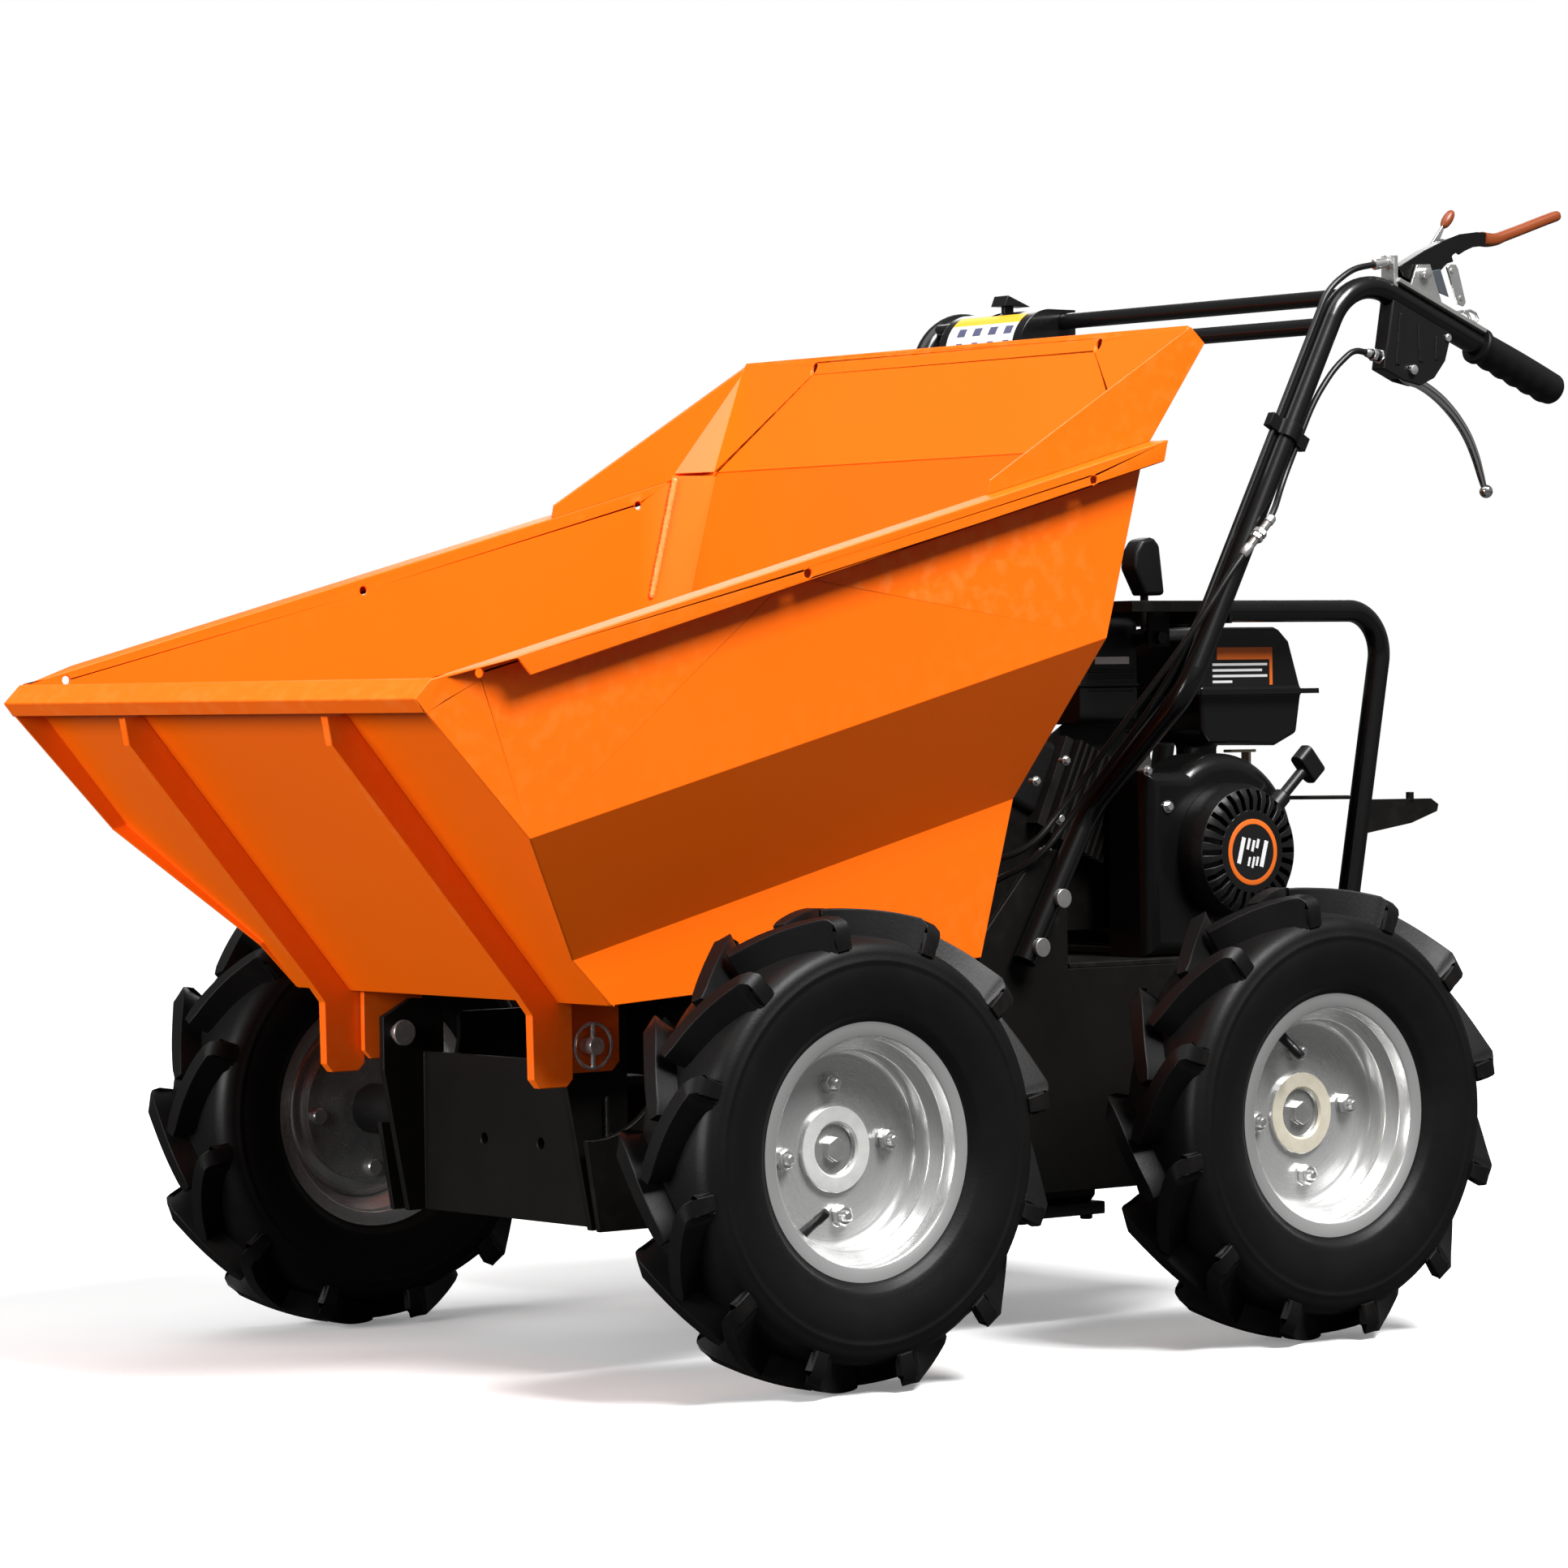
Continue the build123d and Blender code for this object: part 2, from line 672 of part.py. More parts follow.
def air_filter():
    body = block(-10, 90, 256, 331, 572, 676)
    body = fillet(body.edges().filter_by(Axis.Y), 12)
    return body + block(-11.5, 91.5, 254.5, 332.5, 608, 611)


def fuel_tank():
    """Two pressed halves joined at a flat flange."""
    upper = side_plate([(388, 603), (386, 650), (400, 665), (492, 665), (508, 651), (524, 603)], -72, 118)
    lower = side_plate([(388, 600), (390, 562), (400, 551), (488, 548), (517, 560), (524, 600)], -72, 118)
    upper = chamfer(upper.edges().filter_by(Axis.X).group_by(Axis.Z)[-1], 4)
    seam = block(-82, 128, 376, 540, 600, 603)
    feet = block(-40, -20, 400, 440, 515, 552) + block(66, 86, 400, 440, 515, 552)
    neck = rod((20, 446, 664), (20, 446, 672), 20)
    hollow = block(-70, 116, 403, 488, 551, 662)
    return upper + lower + seam + feet + neck - hollow


def fuel_cap():
    body = rod((20, 446, 672.3), (20, 446, 689), 27)
    return chamfer(body.edges().group_by(Axis.Z)[-1], 3)


def housing_outline(grow):
    """The side view of the blower housing: the fan's circle and a shoulder toward the cylinder."""
    face = Pos(crank_y, crank_z) * Circle(95 + grow)
    face += Pos((289 + crank_y) / 2, 437) * Rectangle(crank_y - 289 + 2 * grow, 180 + 2 * grow)
    return face


def blower_housing():
    plane = Plane(origin=(92, 0, 0), x_dir=(0, 1, 0), z_dir=(1, 0, 0))
    outer = extrude(plane * housing_outline(0), amount=58)
    outer = fillet(outer.faces().sort_by(Axis.X)[-1].edges(), 16)
    inner = extrude(plane * housing_outline(-3), amount=55)
    inner = fillet(inner.faces().sort_by(Axis.X)[-1].edges(), 13)
    body = outer - inner
    return body - x_rod(60, 140, 160, crank_y, crank_z)


def recoil_cover():
    y, z = crank_y, crank_z
    cup = turned([(150, 66), (150, 60), (176, 57), (181, 50), (182, 0), (cover_face_x, 0),
                  (cover_face_x, 36), (184, 52), (179, 61),
                  (166, 66)], y, z)
    slots = []
    for i in range(28):
        turn = 360.0 * i / 28
        slot = Pos(170, y, z) * Rot(X=turn) * Pos(0, 0, 50) * Box(60, 5.0, 20)
        slots.append(slot)
    body = cup - slots
    outward = Vector(0, cos(radians(41)), sin(radians(41)))
    middle = Vector(164, y, z)
    guide = rod(tuple(middle + outward * 58), tuple(middle + outward * 80), 9)
    body += guide - x_rod(59, 140, 190, y, z)
    return body - rod(tuple(middle), tuple(middle + outward * 90), 3.0)


def recoil_handle():
    """The pull handle with its stretch of rope."""
    outward = Vector(0, cos(radians(41)), sin(radians(41)))
    middle = Vector(164, crank_y, crank_z)
    rope = rod(tuple(middle + outward * 22), tuple(middle + outward * 86), 2.2)
    stem = rod(tuple(middle + outward * 81), tuple(middle + outward * 116), 5.5)
    plane = Plane(origin=middle + outward * 126, x_dir=(1, 0, 0), z_dir=outward)
    bar = extrude(plane * RectangleRounded(16, 34, 6), amount=10, both=True)
    return rope + stem + bar


def flywheel():
    """The crankshaft with its flywheel and fan."""
    shaft = x_rod(12, -78, 100, crank_y, crank_z)
    wheel = turned([(100, 0), (100, 78), (114, 80), (118, 80), (118, 30), (140, 26), (140, 0)], crank_y,
                   crank_z)
    for i in range(16):
        fin = Pos(0, crank_y, crank_z) * Rot(X=22.5 * i) * block(116, 134, -1.5, 1.5, 52, 78)
        wheel += fin
    return shaft + wheel


def guard_tube():
    """One bent tube on each side of the engine."""
    path = [(guard_x, 543, deck_z), (guard_x, 608, guard_z), (guard_x, 389, guard_z)]
    return pair(bent_rod(path, tube_r, [42]) - block(100, 200, 500, 600, 330, deck_z))


def gate_plate():
    """The folded plate between the guard tubes, with the shift gate."""
    body = block(-164, 164, 259, 389, 687, 690)
    body += block(-164, 164, 385, 389, 668, 690)
    body += block(-164, 164, 259, 262, 679, 690)
    body += block(161, 164, 259, 389, 679, 690) + block(-164, -161, 259, 389, 679, 690)
    body -= block(94, 106, 285, 378, 680, 700)
    body -= block(94, 130, 325, 337, 680, 700)
    hanger = block(118, 121, 318, 346, 646, 688)
    hanger -= x_rod(4, 110, 130, 332, 655)
    return body + hanger


def shift_lever():
    """A stick on a pin under the gate plate."""
    stick = rod((100, 332, 655), (100, 332, 702), 4)
    hub = x_rod(9, 92, 108, 332, 655)
    pin = x_rod(3.9, 106, 126, 332, 655) + x_rod(6, 121.3, 126, 332, 655)
    return stick + hub + pin


def shift_knob():
    points = [(325, 696), (310, 722), (312, 738), (321, 750), (336, 753), (344, 745), (347, 722),
              (350, 696)]
    body = side_plate(points, 89, 111)
    body = chamfer(body.edges().filter_by(Axis.X).group_by(Axis.Z)[-1], 3)
    return body - rod((100, 332, 640), (100, 332, 702), 4)


def rear_bracket():
    """A three-cornered plate on the back of the left guard tube, with a small bolt."""
    points = [(575, 493), (668, 492), (678, 486), (676, 479), (640, 468), (568, 458)]
    body = side_plate(points, guard_x - 2.5, guard_x + 2.5)
    body += rod((guard_x, 640, 490), (guard_x, 640, 499), 4)
    return body - guard_tube()[0]


def stay_rod():
    """A thin rod from the guard tube to the blower housing."""
    bar = rod((guard_x - 4, 470, 497), (guard_x - 4, 590, 495), 2)
    return bar - guard_tube()[0] - rear_bracket() - block(0, 200, 560, 700, 480, 520)


# ---- write the nodes -----------------------------------------------------------------------------
def save_wheels():
    for name, y in (("front", -wheelbase / 2), ("rear", wheelbase / 2)):
        for side, x in (("left", 1), ("right", -1)):
            place = Pos(wheel_x, y, axle_z)
            one = place * tyre()
            two = place * rim()
            if x < 0:
                one, two = other_side(one), other_side(two)
            save("tyre_" + name + "_" + side, one)
            save("rim_" + name + "_" + side, two)
        save("axle_" + name, axle(y))
        save("wheel_nuts_" + name, *wheel_nuts(y))
        save("axle_housing_" + name, axle_housing(y))


def save_bucket():
    save("bucket_shell", bucket_shell())
    save("splash_guard", splash_guard())
    save("bucket_ribs", *bucket_ribs())
    save("hinge_ears", *hinge_ears())
    save("hinge_pins", *hinge_pins())
    save("ring_pins", *ring_pins())


def save_chassis():
    save("chassis_frame", chassis_frame())
    save("engine_deck", engine_deck())
    save("gearbox", gearbox(), gearbox_cover())
    save("bucket_rests", *bucket_rests())


def save_handles():
    left, left_grip = handle_tube(), grip()
    save("handle_left", left)
    save("handle_right", other_side(left))
    save("grip_left", left_grip)
    save("grip_right", other_side(left_grip))
    save("cross_tube_upper", cross_tube(*upper_cross))
    save("cross_tube_lower", cross_tube(*lower_cross))
    save("console_plate", console_plate())
    save("throttle_lever", throttle_lever())
    save("handle_clamps", *handle_clamps())
    save("handle_bolts", *handle_bolts())
    save("lever_base", lever_base())
    save("drive_lever", drive_lever())
    save("drive_sleeve", drive_sleeve())
    save("lock_lever", lock_lever())
    save("brake_housing", brake_housing())
    save("brake_lever", brake_lever())
    save("drive_cable", cable(drive_cable_path))
    save("brake_cable", cable(brake_cable_path))


def save_engine():
    save("crankcase", crankcase())
    save("cylinder", cylinder())
    save("rocker_cover", rocker_cover())
    save("spark_plug", spark_plug())
    save("muffler", muffler())
    save("carburettor", carburettor())
    save("air_filter", air_filter())
    save("fuel_tank", fuel_tank())
    save("fuel_cap", fuel_cap())
    save("blower_housing", blower_housing())
    save("recoil_cover", recoil_cover())
    save("recoil_handle", recoil_handle())
    save("flywheel", flywheel())
    save("guard_tubes", *guard_tube())
    save("gate_plate", gate_plate())
    save("shift_lever", shift_lever())
    save("shift_knob", shift_knob())
    save("rear_bracket", rear_bracket(), stay_rod())


save_wheels()
save_bucket()
save_chassis()
save_handles()
save_engine()
print("nodes", len(os.listdir("parts")))
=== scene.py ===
import json
from math import atan2, cos, pi, radians, sin, sqrt

import bmesh
import bpy
from mathutils import Matrix, Vector, noise


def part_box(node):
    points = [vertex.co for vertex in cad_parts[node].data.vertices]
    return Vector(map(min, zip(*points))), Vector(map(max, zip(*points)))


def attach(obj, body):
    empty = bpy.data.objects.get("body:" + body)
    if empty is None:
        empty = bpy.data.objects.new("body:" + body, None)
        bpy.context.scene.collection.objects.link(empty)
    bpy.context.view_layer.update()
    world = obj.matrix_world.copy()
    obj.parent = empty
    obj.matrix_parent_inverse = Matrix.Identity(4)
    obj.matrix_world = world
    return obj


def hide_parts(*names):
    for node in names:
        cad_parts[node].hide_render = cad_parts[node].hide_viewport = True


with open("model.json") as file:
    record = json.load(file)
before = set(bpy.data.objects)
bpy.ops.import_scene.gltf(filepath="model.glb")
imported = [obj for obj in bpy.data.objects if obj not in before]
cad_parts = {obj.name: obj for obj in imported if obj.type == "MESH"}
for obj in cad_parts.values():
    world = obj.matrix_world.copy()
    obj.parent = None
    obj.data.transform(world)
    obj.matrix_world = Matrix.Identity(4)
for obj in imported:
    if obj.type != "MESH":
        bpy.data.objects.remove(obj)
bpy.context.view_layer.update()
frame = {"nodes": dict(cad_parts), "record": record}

nodes = frame["nodes"]
bodies = frame["record"]["behaviour"]["bodies"]
bodyOfNode = {node: body for body, members in bodies.items() for node in members}
back = 0.0083          # the row's zero is this far behind the point midway between the axles
mm = 0.001


def at(x, y, z):
    # millimetres from the point on the ground midway between the axles, to row metres
    return Vector((x * mm, y * mm - back, z * mm))


def addNode(tree, kind, place=(0, 0), **values):
    node = tree.nodes.new(kind)
    node.location = place
    for key, value in values.items():
        setattr(node, key, value)
    return node


def newGroup(name, inputs, outputs):
    # inputs: (name, default), outputs: (name, socket type)
    group = bpy.data.node_groups.new(name, "ShaderNodeTree")
    for label, default in inputs:
        kind = "NodeSocketColor" if isinstance(default, tuple) else "NodeSocketFloat"
        socket = group.interface.new_socket(label, in_out="INPUT", socket_type=kind)
        socket.default_value = default
    for label, kind in outputs:
        group.interface.new_socket(label, in_out="OUTPUT", socket_type=kind)
    start = addNode(group, "NodeGroupInput", (-900, 0))
    end = addNode(group, "NodeGroupOutput", (700, 0))
    return group, start, end


def makeGrainGroup():
    # fine surface grain: a roughness value around a middle and a height for bump
    group, start, end = newGroup(
        "surfaceGrain",
        [("Scale", 400.0), ("Roughness", 0.4), ("Spread", 0.1), ("Coarse", 12.0)],
        [("Roughness", "NodeSocketFloat"), ("Height", "NodeSocketFloat"), ("Blotch", "NodeSocketFloat")])
    where = addNode(group, "ShaderNodeTexCoord", (-900, -300))
    fine = addNode(group, "ShaderNodeTexNoise", (-600, 100))
    fine.inputs["Detail"].default_value = 4.0
    wide = addNode(group, "ShaderNodeTexNoise", (-600, -200))
    wide.inputs["Detail"].default_value = 5.0
    wide.inputs["Roughness"].default_value = 0.6
    shift = addNode(group, "ShaderNodeMath", (-350, -200), operation="SUBTRACT")
    shift.inputs[1].default_value = 0.5
    spread = addNode(group, "ShaderNodeMath", (-150, -100), operation="MULTIPLY")
    total = addNode(group, "ShaderNodeMath", (50, 0), operation="ADD", use_clamp=True)
    link = group.links.new
    link(where.outputs["Object"], fine.inputs["Vector"])
    link(where.outputs["Object"], wide.inputs["Vector"])
    link(start.outputs["Scale"], fine.inputs["Scale"])
    link(start.outputs["Coarse"], wide.inputs["Scale"])
    link(wide.outputs[0], shift.inputs[0])
    link(shift.outputs[0], spread.inputs[0])
    link(start.outputs["Spread"], spread.inputs[1])
    link(spread.outputs[0], total.inputs[0])
    link(start.outputs["Roughness"], total.inputs[1])
    link(total.outputs[0], end.inputs["Roughness"])
    link(fine.outputs[0], end.inputs["Height"])
    link(wide.outputs[0], end.inputs["Blotch"])
    return group


def makeWearGroup():
    # rubbed edges: a mask that is 1 on a few worn spots of convex edges
    group, start, end = newGroup(
        "edgeWear", [("Reach", 0.55), ("Patch Scale", 60.0), ("Amount", 0.5)], [("Worn", "NodeSocketFloat")])
    shape = addNode(group, "ShaderNodeNewGeometry", (-900, -250))
    where = addNode(group, "ShaderNodeTexCoord", (-900, -450))
    patch = addNode(group, "ShaderNodeTexNoise", (-600, -400))
    patch.inputs["Detail"].default_value = 6.0
    edge = addNode(group, "ShaderNodeMapRange", (-600, -100), clamp=True)
    edge.inputs["From Max"].default_value = 0.62
    keep = addNode(group, "ShaderNodeMapRange", (-350, -400), clamp=True)
    keep.inputs["From Min"].default_value = 0.48
    keep.inputs["From Max"].default_value = 0.62
    both = addNode(group, "ShaderNodeMath", (-50, -200), operation="MULTIPLY")
    scaled = addNode(group, "ShaderNodeMath", (150, -100), operation="MULTIPLY", use_clamp=True)
    link = group.links.new
    link(shape.outputs["Pointiness"], edge.inputs["Value"])
    link(start.outputs["Reach"], edge.inputs["From Min"])
    link(where.outputs["Object"], patch.inputs["Vector"])
    link(start.outputs["Patch Scale"], patch.inputs["Scale"])
    link(patch.outputs[0], keep.inputs["Value"])
    link(edge.outputs[0], both.inputs[0])
    link(keep.outputs[0], both.inputs[1])
    link(both.outputs[0], scaled.inputs[0])
    link(start.outputs["Amount"], scaled.inputs[1])
    link(scaled.outputs[0], end.inputs["Worn"])
    return group


def makeDustGroup():
    # a thin film on what faces up
    group, start, end = newGroup(
        "restingDust", [("Amount", 0.15), ("Scale", 30.0)], [("Dust", "NodeSocketFloat")])
    shape = addNode(group, "ShaderNodeNewGeometry", (-900, -250))
    split = addNode(group, "ShaderNodeSeparateXYZ", (-700, -250))
    where = addNode(group, "ShaderNodeTexCoord", (-900, -450))
    patch = addNode(group, "ShaderNodeTexNoise", (-600, -400))
    patch.inputs["Detail"].default_value = 7.0
    up = addNode(group, "ShaderNodeMapRange", (-450, -150), clamp=True)
    up.inputs["From Min"].default_value = 0.2
    both = addNode(group, "ShaderNodeMath", (-150, -200), operation="MULTIPLY")
    scaled = addNode(group, "ShaderNodeMath", (100, -100), operation="MULTIPLY", use_clamp=True)
    link = group.links.new
    link(shape.outputs["Normal"], split.inputs[0])
    link(split.outputs["Z"], up.inputs["Value"])
    link(where.outputs["Object"], patch.inputs["Vector"])
    link(start.outputs["Scale"], patch.inputs["Scale"])
    link(up.outputs[0], both.inputs[0])
    link(patch.outputs[0], both.inputs[1])
    link(both.outputs[0], scaled.inputs[0])
    link(start.outputs["Amount"], scaled.inputs[1])
    link(scaled.outputs[0], end.inputs["Dust"])
    return group


grainGroup = makeGrainGroup()
wearGroup = makeWearGroup()
dustGroup = makeDustGroup()


def placeGroup(tree, group, place, **values):
    node = addNode(tree, "ShaderNodeGroup", place)
    node.node_tree = group
    for key, value in values.items():
        node.inputs[key.replace("_", " ")].default_value = value
    return node


def mixColour(tree, mask, low, high, place=(0, 0)):
    # low and high are colours or sockets
    node = addNode(tree, "ShaderNodeMix", place, data_type="RGBA")
    for socket, value in ((node.inputs[6], low), (node.inputs[7], high)):
        if isinstance(value, (tuple, list)):
            socket.default_value = (*value[:3], 1.0)
        else:
            tree.links.new(value, socket)
    tree.links.new(mask, node.inputs[0])
    return node.outputs[2]


def surfaceMaterial(name, look):
    # one finish: base colour with a darker blotch, grain, worn edges and dust
    material = bpy.data.materials.new(name)
    material.use_nodes = True
    tree = material.node_tree
    shader = tree.nodes["Principled BSDF"]
    link = tree.links.new
    grain = placeGroup(tree, grainGroup, (-900, 0), Scale=look["grainScale"], Roughness=look["roughness"],
                       Spread=look.get("spread", 0.12), Coarse=look.get("coarse", 12.0))
    colour = mixColour(tree, grain.outputs["Blotch"], look["shade"], look["colour"], (-600, 200))
    if look.get("wear"):
        wear = placeGroup(tree, wearGroup, (-900, -300), Reach=look.get("reach", 0.53), Amount=look["wear"],
                          Patch_Scale=look.get("patch", 60.0))
        colour = mixColour(tree, wear.outputs["Worn"], colour, look["under"], (-350, 200))
    if look.get("dust"):
        dust = placeGroup(tree, dustGroup, (-900, -550), Amount=look["dust"])
        colour = mixColour(tree, dust.outputs["Dust"], colour, (0.30, 0.27, 0.23), (-150, 200))
    link(colour, shader.inputs["Base Color"])
    link(grain.outputs["Roughness"], shader.inputs["Roughness"])
    bump = addNode(tree, "ShaderNodeBump", (-350, -200))
    bump.inputs["Strength"].default_value = look.get("bump", 0.15)
    bump.inputs["Distance"].default_value = look.get("bumpDepth", 0.0004)
    link(grain.outputs["Height"], bump.inputs["Height"])
    link(bump.outputs[0], shader.inputs["Normal"])
    shader.inputs["Metallic"].default_value = look.get("metallic", 0.0)
    shader.inputs["Specular IOR Level"].default_value = look.get("specular", 0.5)
    shader.inputs["Coat Weight"].default_value = look.get("coat", 0.0)
    shader.inputs["Coat Roughness"].default_value = look.get("coatRoughness", 0.1)
    return material


finishes = {
    "orangePaint": {"colour": (1.0, 0.152, 0.002), "shade": (0.95, 0.134, 0.001), "roughness": 0.42,
                    "spread": 0.08, "grainScale": 900.0, "bump": 0.05, "coat": 0.07, "coatRoughness": 0.3,
                    "coarse": 4.0, "specular": 0.22, "wear": 0.35, "under": (1.0, 0.34, 0.08)},
    "glossBlack": {"colour": (0.005, 0.005, 0.005), "shade": (0.003, 0.003, 0.003), "roughness": 0.26,
                   "grainScale": 700.0, "bump": 0.06, "coat": 0.3, "coatRoughness": 0.08, "specular": 0.3,
                   "dust": 0.01},
    "chassisBlack": {"colour": (0.007, 0.006, 0.005), "shade": (0.004, 0.004, 0.004), "roughness": 0.44,
                     "spread": 0.2, "grainScale": 500.0, "bump": 0.12, "specular": 0.18, "wear": 0.3,
                     "under": (0.04, 0.034, 0.03), "dust": 0.015},
    "castBlack": {"colour": (0.007, 0.006, 0.006), "shade": (0.004, 0.004, 0.004), "roughness": 0.5,
                  "spread": 0.2, "grainScale": 260.0, "bump": 0.5, "bumpDepth": 0.0008, "specular": 0.3,
                  "dust": 0.015},
    "tyreRubber": {"colour": (0.0045, 0.004, 0.004), "shade": (0.0025, 0.0025, 0.0025), "roughness": 0.46,
                   "spread": 0.24, "grainScale": 320.0, "bump": 0.22, "bumpDepth": 0.0006, "coarse": 18.0,
                   "specular": 0.22, "wear": 0.4, "under": (0.014, 0.010, 0.008), "dust": 0.006},
    "gripRubber": {"colour": (0.005, 0.005, 0.005), "shade": (0.003, 0.003, 0.003), "roughness": 0.48,
                   "spread": 0.15, "grainScale": 900.0, "bump": 0.5, "bumpDepth": 0.0005, "specular": 0.2},
    "cableSheath": {"colour": (0.006, 0.006, 0.006), "shade": (0.004, 0.004, 0.004), "roughness": 0.34,
                    "spread": 0.1, "grainScale": 900.0, "bump": 0.1, "specular": 0.4},
    "zinc": {"colour": (0.74, 0.74, 0.73), "shade": (0.54, 0.54, 0.53), "roughness": 0.27, "spread": 0.2,
             "grainScale": 500.0, "bump": 0.12, "metallic": 0.85, "coarse": 40.0},
    "yellowZinc": {"colour": (0.80, 0.74, 0.58), "shade": (0.68, 0.60, 0.42), "roughness": 0.3,
                   "spread": 0.2, "grainScale": 500.0, "bump": 0.12, "metallic": 0.8, "coarse": 60.0},
    "chrome": {"colour": (0.82, 0.82, 0.83), "shade": (0.72, 0.72, 0.73), "roughness": 0.10,
               "spread": 0.08, "grainScale": 600.0, "bump": 0.02, "metallic": 1.0},
    "castAluminium": {"colour": (0.30, 0.29, 0.28), "shade": (0.16, 0.155, 0.15), "roughness": 0.5,
                      "spread": 0.2, "grainScale": 300.0, "bump": 0.5, "bumpDepth": 0.0006,
                      "metallic": 0.9},
    "darkIron": {"colour": (0.03, 0.028, 0.026), "shade": (0.014, 0.013, 0.012), "roughness": 0.5,
                 "spread": 0.2, "grainScale": 240.0, "bump": 0.4, "bumpDepth": 0.0006, "metallic": 0.6},
    "satinPlastic": {"colour": (0.006, 0.006, 0.006), "shade": (0.004, 0.004, 0.004), "roughness": 0.38,
                     "spread": 0.1, "grainScale": 1100.0, "bump": 0.18, "specular": 0.35},
    "tankBlack": {"colour": (0.005, 0.005, 0.005), "shade": (0.004, 0.004, 0.004), "roughness": 0.26,
                  "spread": 0.08, "grainScale": 500.0, "bump": 0.05, "coat": 0.35, "coatRoughness": 0.1,
                  "specular": 0.35},
    "redSleeve": {"colour": (0.26, 0.052, 0.010), "shade": (0.18, 0.036, 0.008), "roughness": 0.4,
                  "spread": 0.12, "grainScale": 700.0, "bump": 0.12},
    "labelWhite": {"colour": (0.80, 0.80, 0.80), "shade": (0.74, 0.74, 0.74), "roughness": 0.35,
                   "grainScale": 600.0, "bump": 0.03},
    "labelOrange": {"colour": (0.80, 0.16, 0.015), "shade": (0.72, 0.13, 0.013), "roughness": 0.35,
                    "grainScale": 600.0, "bump": 0.03},
    "labelYellow": {"colour": (0.90, 0.46, 0.03), "shade": (0.84, 0.40, 0.025), "roughness": 0.35,
                    "grainScale": 600.0, "bump": 0.03},
    "labelDark": {"colour": (0.008, 0.008, 0.009), "shade": (0.006, 0.006, 0.006), "roughness": 0.35,
                  "grainScale": 600.0, "bump": 0.03},
    # orange-painted weld beads, drawn lighter than the paint with bright speckles: a painted highlight
    "weldOrange": {"colour": (1.0, 0.34, 0.10), "shade": (1.0, 0.20, 0.03), "roughness": 0.25,
                   "spread": 0.2, "grainScale": 500.0, "bump": 0.3, "coarse": 220.0, "specular": 0.7},
    "labelInk": {"colour": (0.10, 0.11, 0.20), "shade": (0.07, 0.07, 0.13), "roughness": 0.4,
                 "grainScale": 600.0, "bump": 0.03},
    "hubBright": {"colour": (0.86, 0.86, 0.84), "shade": (0.60, 0.60, 0.58), "roughness": 0.34,
                  "spread": 0.2, "grainScale": 300.0, "bump": 0.3, "metallic": 0.3, "coarse": 90.0},
    "hubCream": {"colour": (0.82, 0.77, 0.64), "shade": (0.62, 0.56, 0.43), "roughness": 0.36,
                 "spread": 0.2, "grainScale": 300.0, "bump": 0.3, "metallic": 0.25, "coarse": 90.0},
    "greySteel": {"colour": (0.16, 0.18, 0.21), "shade": (0.10, 0.11, 0.13), "roughness": 0.35,
                  "spread": 0.15, "grainScale": 500.0, "bump": 0.1, "metallic": 0.6},
}
materials = {name: surfaceMaterial(name, look) for name, look in finishes.items()}


rimSteelLook = {"colour": (0.82, 0.82, 0.81), "shade": (0.66, 0.66, 0.66), "metallic": 0.78,
                "roughness": 0.26, "rings": 260.0}


def makeRimSteel():
    # spun steel with rings from the lathe, laid by the lathe's own u and v
    material = bpy.data.materials.new("rimSteel")
    material.use_nodes = True
    tree = material.node_tree
    link = tree.links.new
    shader = tree.nodes["Principled BSDF"]
    where = addNode(tree, "ShaderNodeUVMap", (-1100, 0))
    stretch = addNode(tree, "ShaderNodeMapping", (-900, 0))
    stretch.inputs["Scale"].default_value = (3.0, rimSteelLook["rings"], 1.0)
    rings = addNode(tree, "ShaderNodeTexNoise", (-700, 0))
    rings.inputs["Scale"].default_value = 1.0
    rings.inputs["Detail"].default_value = 6.0
    grain = placeGroup(tree, grainGroup, (-700, -300), Scale=420.0, Roughness=rimSteelLook["roughness"],
                       Spread=0.10, Coarse=16.0)
    rough = addNode(tree, "ShaderNodeMapRange", (-450, -50), clamp=True)
    rough.inputs["To Min"].default_value = -0.05
    rough.inputs["To Max"].default_value = 0.10
    total = addNode(tree, "ShaderNodeMath", (-250, -100), operation="ADD")
    link(where.outputs[0], stretch.inputs["Vector"])
    link(stretch.outputs[0], rings.inputs["Vector"])
    link(rings.outputs[0], rough.inputs["Value"])
    link(rough.outputs[0], total.inputs[0])
    link(grain.outputs["Roughness"], total.inputs[1])
    link(total.outputs[0], shader.inputs["Roughness"])
    colour = mixColour(tree, rings.outputs[0], rimSteelLook["shade"], rimSteelLook["colour"], (-450, 200))
    link(colour, shader.inputs["Base Color"])
    bump = addNode(tree, "ShaderNodeBump", (-250, -300))
    bump.inputs["Strength"].default_value = 0.06
    bump.inputs["Distance"].default_value = 0.0002
    link(rings.outputs[0], bump.inputs["Height"])
    link(bump.outputs[0], shader.inputs["Normal"])
    shader.inputs["Metallic"].default_value = rimSteelLook["metallic"]
    return material


materials["rimSteel"] = makeRimSteel()
print("finishes", len(materials))


